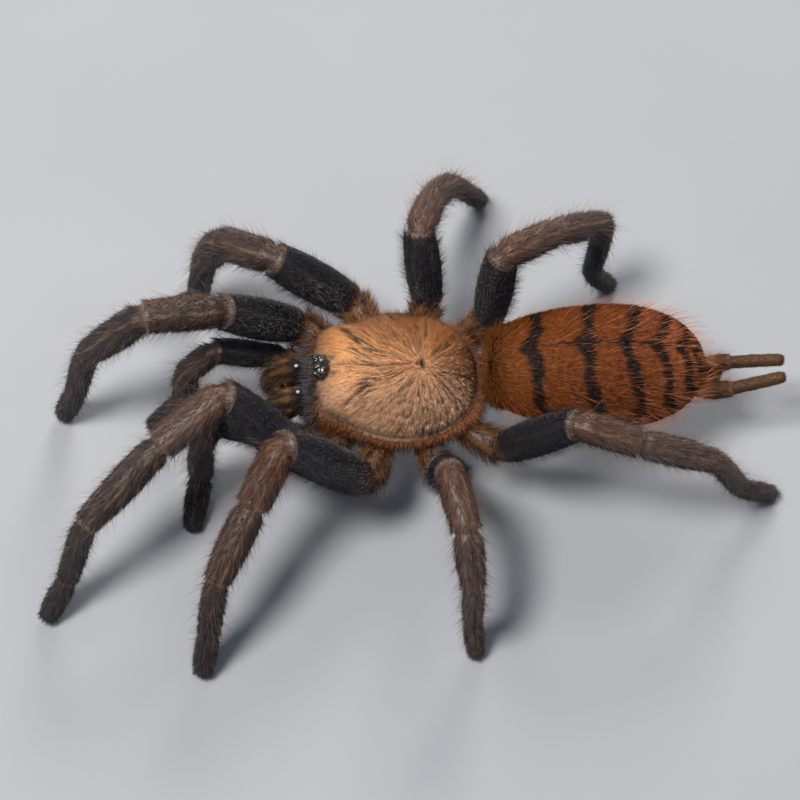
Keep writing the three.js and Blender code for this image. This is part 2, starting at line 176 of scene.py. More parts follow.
def add(tree, kind, settings=None, **links):
    """Adds a node. A setting is a property or a socket. A link is socket=(node, output) or a hex colour."""
    made = tree.nodes.new(kind)
    for name, value in (settings or {}).items():
        if isinstance(name, int) or name in made.inputs:
            made.inputs[name].default_value = value
        elif name == "stops":
            ramp = made.color_ramp
            while len(ramp.elements) > 1:
                ramp.elements.remove(ramp.elements[-1])
            ramp.elements[0].position, ramp.elements[0].color = value[0][0], linear(value[0][1])
            for place, colour in value[1:]:
                ramp.elements.new(place).color = linear(colour)
        else:
            setattr(made, name, value)
    for name, source in links.items():
        socket = made.inputs[int(name[1:]) if name[1:].isdigit() else name.replace("_", " ")]
        if isinstance(source, str):
            socket.default_value = linear(source)
        else:
            tree.links.new(source[0].outputs[source[1]], socket)
    return made


def new_finish(name):
    material = bpy.data.materials.new(name)
    material.use_nodes = True
    tree = material.node_tree
    tree.nodes.clear()
    return material, tree


def close_finish(tree, settings, **links):
    shader = add(tree, "ShaderNodeBsdfPrincipled", settings, **links)
    add(tree, "ShaderNodeOutputMaterial", None, Surface=(shader, "BSDF"))


def close_skin(tree, colour, dark, share, grain_mm, height_mm, settings):
    """Ends the skin under a coat: darker than the coat by a share, with a bump of hair sockets."""
    place = add(tree, "ShaderNodeTexCoord")
    sockets = {"Scale": 1 / (grain_mm * MM), "Detail": 4.0, "Roughness": 0.6}
    grain = add(tree, "ShaderNodeTexNoise", sockets, Vector=(place, "Object"))
    bump = add(tree, "ShaderNodeBump", {"Strength": 0.6, "Distance": height_mm * MM}, Height=(grain, "Fac"))
    shadow = add(tree, "ShaderNodeMix", {"data_type": "RGBA", 0: share}, i6=colour, i7=dark)
    close_finish(tree, settings, Base_Color=(shadow, 2), Normal=(bump, "Normal"))


def marked(tree, colour, marks):
    """Lays the colour of each mark over the one below, as far as the mark's mask says."""
    for mask, tint in marks:
        field = add(tree, "ShaderNodeAttribute", {"attribute_name": mask})
        layer = add(tree, "ShaderNodeMix", {"data_type": "RGBA"}, i0=(field, "Fac"), i6=colour, i7=tint)
        colour = (layer, 2)
    return colour


def shaded(tree, colour, spread, coat):
    """Makes each tuft a little lighter or darker than the next, and paler towards its tip on a coat."""
    for mask, low, high in [("shade", 1 - spread, 1 + spread)] + [("tip", 0.72, 1.22)] * coat:
        field = add(tree, "ShaderNodeAttribute", {"attribute_name": mask})
        light = add(tree, "ShaderNodeMapRange", {"To Min": low, "To Max": high}, Value=(field, "Fac"))
        multiply = {"data_type": "RGBA", "blend_type": "MULTIPLY", 0: 1.0}
        layer = add(tree, "ShaderNodeMix", multiply, i6=colour, i7=(light, "Result"))
        colour = (layer, 2)
    return colour


def carapace_finish(name, coat):
    """Golden pile on horn, combed out from the middle pit, with dark streaks where the horn shows through."""
    material, tree = new_finish(name)
    # Painted light: the pale mark on top of the head is a painted highlight and the orange on the far side is
    # painted shade; the streaks and rim are the shield's own marks, with painted shade in the pit.
    marks = (("flank", "#b8742f"), ("crown", "#e6b27c"), ("streak", "#20140f"), ("rim", "#3a1d0e"))
    colour = shaded(tree, marked(tree, "#d2a482", marks), 0.34, coat)
    if coat:
        sheen = {"Roughness": 0.48, "Specular IOR Level": 0.36, "Sheen Weight": 0.06}
        close_finish(tree, sheen, Base_Color=colour)
    else:
        close_skin(tree, colour, "#22140c", 0.62, 0.25, 0.05, {"Roughness": 0.6, "Specular IOR Level": 0.3})
    return material


def abdomen_finish(name, coat):
    """Rust velvet, more olive in front and pinker behind, with black chevrons and a line along the back."""
    material, tree = new_finish(name)
    along = add(tree, "ShaderNodeAttribute", {"attribute_name": "along"})
    rust = add(tree, "ShaderNodeValToRGB", {"stops": RUST_STOPS}, Fac=(along, "Fac"))
    colour = marked(tree, (rust, "Color"), (("flank", "#5c2e18"), ("bar", "#0b0808")))
    colour = shaded(tree, colour, 0.36, coat)
    if coat:
        close_finish(tree, {"Roughness": 0.6, "Specular IOR Level": 0.12}, Base_Color=colour)
    else:
        close_skin(tree, colour, "#241008", 0.35, 0.3, 0.06, {"Roughness": 0.75, "Specular IOR Level": 0.25})
    return material


def limb_finish(name, back_stops, belly_dark_and_shade_stops, coat):
    """Velvet that runs from golden at the hip through a black thigh to brown shins, with pale bare lines."""
    material, tree = new_finish(name)
    along = add(tree, "ShaderNodeAttribute", {"attribute_name": "along"})
    back = add(tree, "ShaderNodeValToRGB", {"stops": back_stops}, Fac=(along, "Fac"))
    # The belly ramp is partly the underside's own dark and partly painted shade on the limb's lower side.
    belly = add(tree, "ShaderNodeValToRGB", {"stops": belly_dark_and_shade_stops}, Fac=(along, "Fac"))
    under = add(tree, "ShaderNodeAttribute", {"attribute_name": "under"})
    round_limb = add(tree, "ShaderNodeMix", {"data_type": "RGBA"},
                     i0=(under, "Fac"), i6=(back, "Color"), i7=(belly, "Color"))
    # The scopula's teal over its own dark is a painted iridescent sheen.
    colour = marked(tree, (round_limb, 2), (("line", "#94765f"), ("stripe", "#1c110a"), ("pad", "#102a33")))
    colour = shaded(tree, colour, 0.3, coat)
    if coat:
        thigh = add(tree, "ShaderNodeAttribute", {"attribute_name": "thigh"})
        sleek = add(tree, "ShaderNodeMapRange", {"To Min": 0.48, "To Max": 0.34}, Value=(thigh, "Fac"))
        gloss = {"Specular IOR Level": 0.42}
        blue_sheen = {"Sheen Weight": 0.09, "Sheen Roughness": 0.4, "Sheen Tint": linear("#93a2cf")}
        close_finish(tree, gloss | blue_sheen, Base_Color=colour, Roughness=(sleek, "Result"))
    else:
        close_skin(tree, colour, "#0d0a0a", 0.4, 0.2, 0.04, {"Roughness": 0.5, "Specular IOR Level": 0.45})
    return material


def seta_finish(name, root_hex, tip_hex, roughness):
    """A stiff hair: horn that is darker at the root and clearer at the tip."""
    material, tree = new_finish(name)
    colour = shaded(tree, marked(tree, root_hex, [("tip", tip_hex)]), 0.3, False)
    close_finish(tree, {"Roughness": roughness, "Specular IOR Level": 0.5}, Base_Color=colour)
    return material


def fuzz_finish(name, stops, coat, field="along"):
    """Short fuzz whose colour changes along the piece."""
    material, tree = new_finish(name)
    along = add(tree, "ShaderNodeAttribute", {"attribute_name": field})
    ramp = add(tree, "ShaderNodeValToRGB", {"stops": stops}, Fac=(along, "Fac"))
    colour = shaded(tree, (ramp, "Color"), 0.3, coat)
    if coat:
        close_finish(tree, {"Roughness": 0.55, "Specular IOR Level": 0.35}, Base_Color=colour)
    else:
        close_skin(tree, colour, "#140c08", 0.4, 0.2, 0.05, {"Roughness": 0.6, "Specular IOR Level": 0.35})
    return material


def horn_finish(name, dark_hex, pale_hex, grain_mm, roughness, coat_weight=0.0):
    """Bare horn: dense, with faint clouds under a hard surface."""
    material, tree = new_finish(name)
    place = add(tree, "ShaderNodeTexCoord")
    clouds = {"Scale": 1 / (grain_mm * MM), "Detail": 5.0, "Roughness": 0.65}
    cloud = add(tree, "ShaderNodeTexNoise", clouds, Vector=(place, "Object"))
    reach = add(tree, "ShaderNodeMapRange", {"From Min": 0.42, "From Max": 0.72}, Value=(cloud, "Fac"))
    colour = add(tree, "ShaderNodeMix", {"data_type": "RGBA"}, i0=(reach, "Result"), i6=dark_hex, i7=pale_hex)
    bump = add(tree, "ShaderNodeBump", {"Strength": 0.35, "Distance": 0.03 * MM}, Height=(cloud, "Fac"))
    surface = {"Roughness": roughness, "IOR": 1.55, "Coat Weight": coat_weight, "Coat Roughness": 0.06}
    close_finish(tree, surface, Base_Color=(colour, 2), Normal=(bump, "Normal"))
    return material


def floor_finish():
    """Pale matt board."""
    material, tree = new_finish("matt_pale_board")
    place = add(tree, "ShaderNodeTexCoord")
    cloud = add(tree, "ShaderNodeTexNoise", {"Scale": 40.0, "Detail": 3.0}, Vector=(place, "Object"))
    colour = add(tree, "ShaderNodeMix", {"data_type": "RGBA"}, i0=(cloud, "Fac"), i6="#8b9099", i7="#92969d")
    close_finish(tree, {"Roughness": 0.85, "Specular IOR Level": 0.2}, Base_Color=(colour, 2))
    return material


# ---------------------------------------------------------------- skins and tufts as meshes

def grid_normals(points):
    """Outward unit normals of a grid of rings whose last column repeats the first."""
    core = points[:, :-1]
    down = np.gradient(core, axis=0)
    round_ring = np.roll(core, -1, 1) - np.roll(core, 1, 1)
    normal = unit(np.cross(down, round_ring))
    if (normal * (core - core.mean(1, keepdims=True))).sum() < 0:
        normal = -normal
    return np.concatenate([normal, normal[:, :1]], 1)


def make_piece(name, points, faces, material, slot, replaced=(), fields=None, uvs=None):
    """One mesh in the frame, from points in millimetres."""
    mesh = bpy.data.meshes.new(name)
    mesh.from_pydata((np.asarray(points) * MM).tolist(), [], faces)
    for field, values in (fields or {}).items():
        mesh.attributes.new(field, "FLOAT", "POINT").data.foreach_set("value", np.asarray(values, np.float32))
    if uvs is not None:
        layer = mesh.uv_layers.new(name="OFBake")
        corners = np.empty(len(mesh.loops), np.int32)
        mesh.loops.foreach_get("vertex_index", corners)
        layer.data.foreach_set("uv", uvs[corners].astype(np.float32).ravel())
    mesh.shade_smooth()
    mesh.materials.append(material)
    piece = bpy.data.objects.new(name, mesh)
    bpy.context.scene.collection.objects.link(piece)
    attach(piece, "root")
    if replaced:
        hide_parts(*replaced)


def ring_surface(grids):
    """Grids of rings as one list of points and faces: quads round each, and a fan at each end."""
    points, faces, total = [], [], 0
    for grid in grids:
        core = grid[:, :-1]
        index = total + np.arange(core.shape[0] * core.shape[1]).reshape(core.shape[:2])
        right = np.roll(index, -1, 1)
        first, last = total + index.size, total + index.size + 1
        sheet = np.stack([index[:-1], right[:-1], right[1:], index[1:]], -1).reshape(-1, 4).tolist()
        sheet += [[first, b, a] for a, b in zip(index[0], right[0])]
        sheet += [[last, a, b] for a, b in zip(index[-1], right[-1])]
        facing = np.cross(core[1:] - core[:-1], (np.roll(core, -1, 1) - core)[:-1])
        if (facing * (core[:-1] - core[:-1].mean(1, keepdims=True))).sum() > 0:
            sheet = [face[::-1] for face in sheet]
        faces += sheet
        points += [core.reshape(-1, 3), core[:1].mean(1), core[-1:].mean(1)]
        total += index.size + 2
    return np.concatenate(points), faces


def skin_piece(name, grid, material, slot, replaced, fields):
    """A closed skin from a grid of rings, with its masks."""
    spread = {}
    for field, values in fields.items():
        core = np.broadcast_to(values, grid.shape[:2])[:, :-1]
        spread[field] = np.concatenate([core.ravel(), [core[0].mean(), core[-1].mean()]])
    make_piece(name, *ring_surface([grid]), material, slot, replaced, spread)


def ball_rings(centre, radii, rings, sides, roughness=0.0, seed=1):
    down = np.linspace(0.04, math.pi - 0.04, rings)[:, None]
    turns = 2 * math.pi * np.arange(sides + 1) / sides
    level = np.cos(down) * np.ones(sides + 1)
    ring = np.stack([np.sin(down) * np.cos(turns), np.sin(down) * np.sin(turns), level], -1)
    ring[:, -1] = ring[:, 0]
    swell = 1 + roughness * mottle(ring, 0.5, seed)[..., None]
    return np.asarray(centre) + ring * np.asarray(radii) * swell


def plant(rng, grid, fields, count, weight=1.0):
    """Random roots on a skin, spread by area times weight. Gives their place, normal, lie and fields."""
    a, b, c, d = grid[:-1, :-1], grid[:-1, 1:], grid[1:, 1:], grid[1:, :-1]
    weight = np.broadcast_to(weight, grid.shape[:2])
    area = np.linalg.norm(np.cross(c - a, d - b), axis=-1) / 2 * (weight[:-1, :-1] + weight[1:, 1:]) / 2
    cell = rng.choice(area.size, count, p=area.ravel() / area.sum())
    i, j = np.divmod(cell, grid.shape[1] - 1)
    u, v = rng.random(count), rng.random(count)

    def at(values):
        down, across = (u, v) if values.ndim == 2 else (u[:, None], v[:, None])
        near = values[i, j] * (1 - across) + values[i, j + 1] * across
        far = values[i + 1, j] * (1 - across) + values[i + 1, j + 1] * across
        return near * (1 - down) + far * down

    found = {"place": at(grid), "normal": unit(at(grid_normals(grid)))}
    for field, values in fields.items():
        found[field] = at(values if np.ndim(values) == 3 else np.broadcast_to(values, grid.shape[:2]))
    lie = grid[i + 1, j] - grid[i, j] + grid[i + 1, j + 1] - grid[i, j + 1]
    found["lie"] = unit(lie - (lie * found["normal"]).sum(-1, keepdims=True) * found["normal"])
    found["uv"] = np.stack([(i + u) / (grid.shape[0] - 1), (j + v) / (grid.shape[1] - 1)], -1)
    return found


def lean(rng, roots, rise, scatter):
    """The direction of each tuft: along the lie of the coat, raised by rise degrees and scattered."""
    count = len(roots["place"])
    up = np.radians(np.broadcast_to(rise, (count,)) + rng.normal(0, scatter * 0.6, count))[:, None]
    sway = np.radians(rng.normal(0, scatter, count))[:, None]
    side = np.cross(roots["normal"], roots["lie"])
    flat = roots["lie"] * np.cos(sway) + side * np.sin(sway)
    return unit(flat * np.cos(up) + roots["normal"] * np.sin(up))


def backwards(roots):
    """Lays the coat back along x, flat on the skin."""
    roots["lie"] = unit(np.array([1.0, 0, 0]) - roots["normal"] * roots["normal"][:, :1])


PATCH = 0.0014  # half the size of a tuft's patch on the baked map
MAP_MARGIN = 0.004
HALF, THIRD_TURN_SINE = 0.5, 0.87  # where the second and third corner of a tuft's root lie


def grow(rng, name, roots, lie, lengths, widths, material, slot,
         kept=(), bend=None, stretch=1, push=0, sink=0.05):
    """Tufts on their roots. lie is how far they rise and scatter in degrees; push tips them all one way.
    Straight tufts have four faces; bent ones have a waist and a curved tip."""
    count = len(roots["place"])
    direction = unit(lean(rng, roots, *lie) + np.array(push))
    length = (rng.uniform(*lengths, count) * stretch)[:, None]
    width = (rng.uniform(*widths, count) if isinstance(widths, tuple) else np.full(count, widths))[:, None]
    side = unit(np.cross(direction, roots["normal"] + 1e-4))
    top = np.cross(side, direction)
    base = roots["place"] - roots["normal"] * sink
    back = side * -HALF * width
    out = top * THIRD_TURN_SINE * width
    corners = [side * width, back + out, back - out]
    layers = [base + corner for corner in corners]
    if bend is None:
        layers.append(base + direction * length)
        shape = [(0, 1, 3), (1, 2, 3), (2, 0, 3), (0, 2, 1)]
        heights, patch_rings = [0, 0, 0, 1], [1]
    else:
        middle = base + direction * length * 0.5
        layers += [middle + corner * 0.75 for corner in corners]
        layers.append(middle + unit(direction + bend) * length * 0.5)
        shape = [(0, 2, 1)]
        for k in range(3):
            n = (k + 1) % 3
            shape += [(k, n, n + 3), (k, n + 3, k + 3), (k + 3, n + 3, 6)]
        heights, patch_rings = [0, 0, 0, 0.5, 0.5, 0.5, 1], [1, 0.5]
    per = len(layers)
    points = np.stack(layers, 1).reshape(-1, 3)
    points[:, 2] = np.maximum(points[:, 2], 0.0)
    faces = (np.arange(count)[:, None, None] * per + np.array(shape)).reshape(-1, 3).tolist()
    fields = {field: np.repeat(roots[field], per) for field in kept}
    fields["tip"] = np.tile(heights, count)
    fields["shade"] = np.repeat(rng.random(count), per)
    around = np.radians([90, 210, 330])
    triangle = np.stack([np.cos(around), np.sin(around)], -1) * PATCH
    offsets = np.concatenate([triangle * part for part in patch_rings] + [np.zeros((1, 2))])
    uvs = (MAP_MARGIN + (1 - 2 * MAP_MARGIN) * roots["uv"])[:, None, :] + offsets
    make_piece(name, points, faces, material, slot, (), fields, uvs.reshape(-1, 2))


def tube(points, radii, sides=28, start_up=(0, 0, 1)):
    """Rings along a line of points, with the angle round each ring in turns from its back."""
    up = np.array(start_up, float)
    grid = []
    turns = np.arange(sides + 1) / sides
    around = 2 * math.pi * turns[:, None]
    for centre, direction, radius in zip(points, unit(np.gradient(points, axis=0)), radii):
        level = np.array([0, 0, 1.0]) - direction[2] * direction
        up = unit(up - up.dot(direction) * direction + 0.12 * level)
        up = unit(up - up.dot(direction) * direction)
        grid.append(centre + (up * np.cos(around) + np.cross(direction, up) * np.sin(around)) * radius)
    return np.array(grid), turns


def from_back(turns):
    """0 along the back of a limb or jaw, 1 along its belly."""
    return np.minimum(turns, 1 - turns) * 2


# ---------------------------------------------------------------- carapace

RIM_OUTLINE = [
    (-8.0, 0), (-7.9, 2.6), (-7.3, 4.2), (-4.6, 5.4), (-0.4, CARAPACE_WIDTH / 2),
    (3.6, 6.3), (6.6, 4.2), (7.8, 1.8), (CARAPACE_LENGTH / 2, 0),
]


def rim_line(count):
    """The carapace's outline as a smooth closed curve, from the middle of the head round the right side."""
    knots = np.array(RIM_OUTLINE, float)
    padded = np.vstack([knots[1] * [1, -1], knots, knots[-2] * [1, -1]])
    half = curve_through(padded, np.linspace(0, len(knots) - 1, count // 2 + 1))
    half[0, 1] = half[-1, 1] = 0
    return np.vstack([half, half[-2::-1] * [1, -1]])


def dome_height(x, inward):
    caput = CAPUT_RISE * hump(x, CAPUT_X, CAPUT_SPREAD)
    rear = 1 - 0.3 * smooth(1, 8, x)
    steepness = 2.4 + 8.5 * smooth(3, 7.5, -x)
    profile = (1 - (1 - inward) ** steepness) ** 0.75
    return (CARAPACE_RISE + caput) * rear * profile - FOVEA_DEPTH * smooth(0.93, 0.985, inward)


def carapace_marks(place):
    """Masks of the carapace from each place in its own frame: streaks, a painted highlight on top of the
    head, and painted shade on the far side.
    """
    x, y = place[..., 0] - FOVEA_X, place[..., 1]
    radius = np.hypot(x, y)
    angle = np.arctan2(y, x)
    from_rear = np.degrees(np.abs(angle))
    swirl = angle + 0.05 * np.sin(radius * 1.3 + 2 * angle) * smooth(1, 5, radius)
    circle = np.stack([np.cos(swirl), np.sin(swirl)], -1)
    rays = mottle(circle * 3.2 + radius[..., None] * 0.015, 0.55, 3, 22)
    fine = mottle(circle * 9 + radius[..., None] * 0.05, 0.75, 5, 24)
    dashes = mottle(np.concatenate([circle * 26, radius[..., None] * 0.55], -1), 1.1, 6, 40)
    broken = mottle(place[..., :2], 1.3, 7)
    specks = mottle(place[..., :2], 0.45, 9, 20)

    # Rays near the pit, and rows of dashes over the whole shield.
    combed = smooth(0.2, 0.8, 0.75 * rays + 0.55 * fine * (0.4 + 0.6 * broken))
    combed = combed * (0.05 + 0.7 * hump(radius, 1.4, 2.4))
    dashed = smooth(0.38, 0.75, dashes + 0.2 * rays + 0.15 * broken)
    dashed = 0.9 * dashed * smooth(0.7, 2.0, radius) * (1 - smooth(5.8, 7.2, radius))

    # The grooves that part the head from the sides, and the shallow ones between the legs' muscles.
    spread = 4 + 10 / np.maximum(radius, 2)
    cephalic = hump(from_rear, 163 - 13 * smooth(3.5, 8, radius), spread)
    cephalic = cephalic * smooth(1.5, 3.5, radius) * (1 - smooth(7.4, 8.6, radius))
    side_grooves = sum(hump(from_rear, bearing, 5.5) for bearing in (45, 90, 127))
    side_grooves = side_grooves * smooth(0.6, 1.6, radius) * (1 - smooth(3.6, 5.4, radius))
    grooves = np.clip(cephalic + 0.85 * side_grooves, 0, 1) * smooth(-0.75, 0.25, dashes + 0.5 * specks)

    midline = 0.7 * hump(y, 0, 0.09) * smooth(0.3, 1, -x) * (1 - smooth(7.2, 8.0, -x))
    behind_eyes = hump(np.abs(y), 0.75, 0.22) * hump(place[..., 0], -5.35, 0.35)
    # The pit's dark is partly its own dark horn and partly painted shade in the hollow.
    pit = smooth(0.42, 0.2, np.hypot(x * 2.2 + 0.3 * y * y, y * 0.7))
    spots = smooth(0.55, 0.85, specks) * hump(from_rear, 115, 45)
    spots = 0.8 * spots * smooth(1.5, 3, radius) * (1 - smooth(6, 7, radius))
    streak = np.max([combed, dashed, grooves, midline, behind_eyes, pit, spots], axis=0)
    # Painted highlight: the top of the head is painted paler where the light falls on it.
    crown = hump(place[..., 0], -3.5, 3.0) * hump(y, 0.4, 2.6) * 0.75
    # flank paints the far side (+y) more orange than the near side: painted shade, not the shield's own
    # colour.
    return {"streak": np.clip(streak, 0, 1), "crown": crown, "flank": smooth(-3.0, 3.5, y)}


def carapace_grid():
    """The shield's skin as rings from under the rim in to the pit, and how far in each ring is."""
    rim = rim_line(200)
    inset = COAT_DEPTH * 0.75
    half_width = 7
    levels = np.concatenate([[0.0, 0.0], np.linspace(0.0, 0.12, 12)[1:], np.linspace(0.12, 0.985, 78)[1:]])
    grid = []
    for row, inward in enumerate(levels):
        x, y = (rim * (1 - inward) + np.array([FOVEA_X, 0]) * inward).T
        away, bearing = np.hypot(x - FOVEA_X, y), np.arctan2(y, x - FOVEA_X)
        z = RIM_THICKNESS + dome_height(x, inward) - inset
        if row == 0:
            z = np.full(len(rim), 0.05)
        else:
            ridges = mottle(np.stack([np.cos(bearing), np.sin(bearing)], -1) * 3.2, 0.55, 3, 22)
            z = z - 0.07 * ridges * smooth(0.6, 2.0, away) * (1 - smooth(5.0, 7.0, away))
            furrow = hump(np.degrees(np.abs(bearing)), 155, 6) * smooth(1, 2.5, away)
            z = z - 0.18 * furrow * (1 - smooth(7.0, 8.6, away))
        z = z - 0.12 * hump(inward, 0.055, 0.02) * (row > 1)
        grid.append(np.stack([x * (1 - inset / half_width), y * (1 - inset / half_width), z], -1))
    return np.array(grid), levels[:, None]


def build_carapace(rng):
    grid, inward = carapace_grid()
    x, y = grid[..., 0], grid[..., 1]
    marks = carapace_marks(grid)
    marks["rim"] = np.maximum(0.8 * (1 - smooth(0.0, 0.02, inward)), 0.65 * hump(inward, 0.045, 0.014))
    marks["shade"] = blotchy(grid, 0.5, 11)
    placed = from_prosoma(grid)
    skin_piece("carapace_skin", placed, horn_gold_skin, "carapace_coat", ["carapace"], marks)

    fields = {**marks, "inward": inward, "x": x}
    above = (np.arange(len(grid)) > 0)[:, None]
    weight = smooth(0.995, 0.97, inward) * above * (1 - 0.75 * hump(inward, 0.045, 0.012))
    eyes_clear = smooth(0.85, 1.15, np.hypot(x - EYE_SEAT[0], y / 1.45))
    roots = plant(rng, placed, fields, 41000, weight * eyes_clear)
    roots["lie"] = -roots["lie"]
    dark = roots["streak"] > rng.uniform(0.35, 0.75, len(roots["streak"]))
    stretch = np.where(dark, 0.7, 1) * (0.4 + 0.6 * smooth(0.04, 0.16, roots["inward"]))
    grow(rng, "carapace_coat", roots, (np.where(dark, 10, 17), 8), (0.45, 0.9), (0.019, 0.035),
         golden_pile, "carapace_coat", ("streak", "crown", "flank", "rim"), stretch=stretch)

    # The fringe stands out from the rim and hangs over its edge, longest behind where it covers the waist.
    rows = 14
    edge = plant(rng, placed[:rows], {"x": x[:rows]}, 6400,
                 (inward[:rows] < 0.05) * (0.8 + 1.6 * smooth(3.5, 6.5, x[:rows])))
    edge["lie"] = -edge["lie"]
    grow(rng, "carapace_fringe", edge, (14, 22), (0.75, 1.35), (0.017, 0.028), rim_fringe, "carapace_coat",
         bend=np.array([0, 0, -0.3]), stretch=1 + 0.75 * smooth(3.5, 6.8, edge["x"]), push=(0, 0, -0.12))

    # Dark bristles on the front edge curve up over the jaws.
    rows = 16
    front = plant(rng, placed[:rows], {}, 620, smooth(-6.6, -7.4, x[:rows]))
    front["lie"] = -front["lie"]
    grow(rng, "clypeus_bristles", front, (48, 18), (0.7, 1.5), (0.022, 0.034), grey_bristle, "carapace_coat",
         bend=np.array([0, 0, 0.45]))


def build_side_wall(rng):
    """The dark, woolly wall between the carapace's rim and the hips."""
    rim = rim_line(160)
    profile = [  # share of the rim's size, height
        (0.05, 0.1), (0.8, 0.1), (0.92, 0.0), (0.94, -0.5),
        (0.9, -1.3), (0.74, -2.3), (0.5, -2.8), (0.05, -2.9),
    ]
    levels = resample(profile, 40)
    grid = np.array([np.column_stack([rim * scale, np.full(len(rim), z)]) for scale, z in levels])
    x, z = grid[..., 0], grid[..., 2]
    placed = from_prosoma(grid)
    masks = {"along": 0.1, "shade": blotchy(grid, 0.5, 75)}
    skin_piece("side_wall_skin", placed, plate_skin, "dark_plate", (), masks)
    band = smooth(0.05, -0.15, z) * smooth(-2.5, -2.0, z)
    roots = plant(rng, placed, {"x": x}, 6200, band * (1 + smooth(4, 7, x) + 1.5 * smooth(-5, -7, x)))
    ends = smooth(4, 7, roots["x"]) + smooth(-4, -7, roots["x"])
    grow(rng, "side_wall_wool", roots, (55, 20), (0.7, 1.5), (0.016, 0.026), side_wool, "dark_plate",
         stretch=1 + 0.6 * ends, push=(0, 0, 0.1))


# ---------------------------------------------------------------- eyes

EYES = [
    # x, y, z from the middle of the mound, radius
    (-0.38, 0.36, 0.60, 0.24),
    (-0.50, 0.80, 0.30, 0.24),
    (0.14, 0.82, 0.42, 0.19),
    (0.22, 0.48, 0.62, 0.15),
]


def build_eyes(rng):
    mound = ball_rings(EYE_SEAT, (0.88, 1.22, 0.86), 40, 56, 0.05, 21)
    lenses, collars = [], []
    for x, y, z, radius in EYES:
        for side in (-1, 1):
            centre = EYE_SEAT + np.array([x, side * y, z])
            outward = unit(np.array([x / 0.9, side * y / 1.4, z / 0.9]))
            lenses.append(from_prosoma(ball_rings(centre, (radius,) * 3, 18, 28)))
            seat = centre - outward * radius * 0.4
            collars.append(from_prosoma(ball_rings(seat, (radius * 1.25,) * 3, 14, 28, 0.05, 23)))
    placed = from_prosoma(mound)
    for name, grids, material in (
        ("eye_mound", [placed], mound_horn),
        ("eye_lenses", lenses, eye_lens),
        ("eye_collars", collars, mound_horn),
    ):
        make_piece(name, *ring_surface(grids), material, "eyes", ["eye_tubercle"])
    roots = plant(rng, placed, {}, 260, smooth(0.0, 0.3, mound[..., 2] - EYE_SEAT[2]))
    grow(rng, "eye_mound_hairs", roots, (40, 30), (0.12, 0.42), 0.014, pale_speck, "eyes",
         bend=np.array([-0.2, 0, 0.2]))


# ---------------------------------------------------------------- jaws

JAW_STATIONS = [
    # x, z, half-width, half-height, lean
    (-7.3, -1.5, 0.8, 0.9, 0.0), (-8.05, -1.4, 1.05, 1.05, 0.0), (-8.55, -0.75, 1.22, 1.7, -0.05),
    (-9.4, -0.8, 1.28, 1.95, -0.25), (-10.1, -1.5, 1.25, 1.85, -0.6), (-10.5, -2.5, 1.15, 1.65, -0.95),
    (-10.6, -3.6, 1.0, 1.35, -1.25), (-10.6, -4.3, 0.7, 0.95, -1.4),
]
JAW_SPACING, FANG_CONVERGENCE = 1.5, 0.35


def build_jaw(rng, side):
    out = OUT[side]
    turns = np.arange(41) / 40
    angle = 2 * math.pi * turns
    depth = COAT_DEPTH * 0.8
    grid = []
    for x, z, wide, tall, tilt in resample(JAW_STATIONS, 44):
        rise = (tall - depth) * np.cos(angle)
        across = out * JAW_SPACING + (wide - depth) * np.sin(angle)
        grid.append(np.stack([x + rise * math.sin(tilt), across, z + rise * math.cos(tilt)], -1))
    middle = grid[-1].mean(0)
    last = grid[-1]
    for share in (0.8, 0.45):
        grid.append(middle + (last - middle) * share + np.array([0, 0, -0.2 * (1 - share)]))
    grid = np.array(grid)
    along = np.linspace(0, 1, len(grid))[:, None]
    down = from_back(turns)
    stripe = np.clip(hump(down, 0.26, 0.08) + 0.9 * hump(down, 0.0, 0.06) + smooth(0.42, 0.55, down), 0, 1)
    tone = np.clip(0.1 + 0.8 * stripe + 0.12 * mottle(grid, 0.8, 31) + smooth(0.36, 0.26, along), 0, 1)
    fields = {"tone": tone, "shade": blotchy(grid, 0.4, 33), "along": along}
    placed = from_prosoma(grid)
    skin_piece(f"jaw_skin_{side}", placed, jaw_skin, "fawn_coat", [f"chelicera_{side}"], fields)
    roots = plant(rng, placed, fields, 5600, smooth(0.04, 0.12, along))
    grow(rng, f"jaw_coat_{side}", roots, (26, 12), (0.45, 0.85), (0.026, 0.042),
         jaw_fuzz, "fawn_coat", ("tone",))
    roots = plant(rng, placed, fields, 420, smooth(0.3, 0.6, along))
    grow(rng, f"jaw_setae_{side}", roots, (40, 16), (1.0, 1.9), 0.022, brown_seta, "fawn_coat",
         bend=np.array([0, 0, -0.3]))
    # A glossy boss at each jaw's base, pale ivory as a painted highlight; the real boss is dark.
    boss = from_prosoma(ball_rings((-8.7, out * 1.3, 0.93), (0.19, 0.16, 0.15), 18, 24, 0.02, 35))
    make_piece(f"jaw_boss_{side}", *ring_surface([boss]), boss_painted_highlight, "fawn_coat")


def build_fang(side):
    reach, drop, curl = 3.4, 1.8, math.radians(75)
    t = np.linspace(0, 1, 36)
    across = OUT[side] * (JAW_SPACING - FANG_CONVERGENCE * t)
    line = np.stack([-10.7 + reach * (1 - np.cos(t * curl)), across, -4.75 - drop * np.sin(t * curl)], -1)
    point = np.sqrt(np.clip(1 - ((t - 0.9) / 0.1).clip(0, 1) ** 2 * 0.85, 0.05, 1))
    grid, _ = tube(from_prosoma(line), (0.49 - 0.26 * t) * point, 24, (-1, 0, 0))
    skin_piece(f"fang_horn_{side}", grid, fang_horn, "fang_horn", [f"fang_{side}"], {"shade": 0.5})


# ---------------------------------------------------------------- abdomen

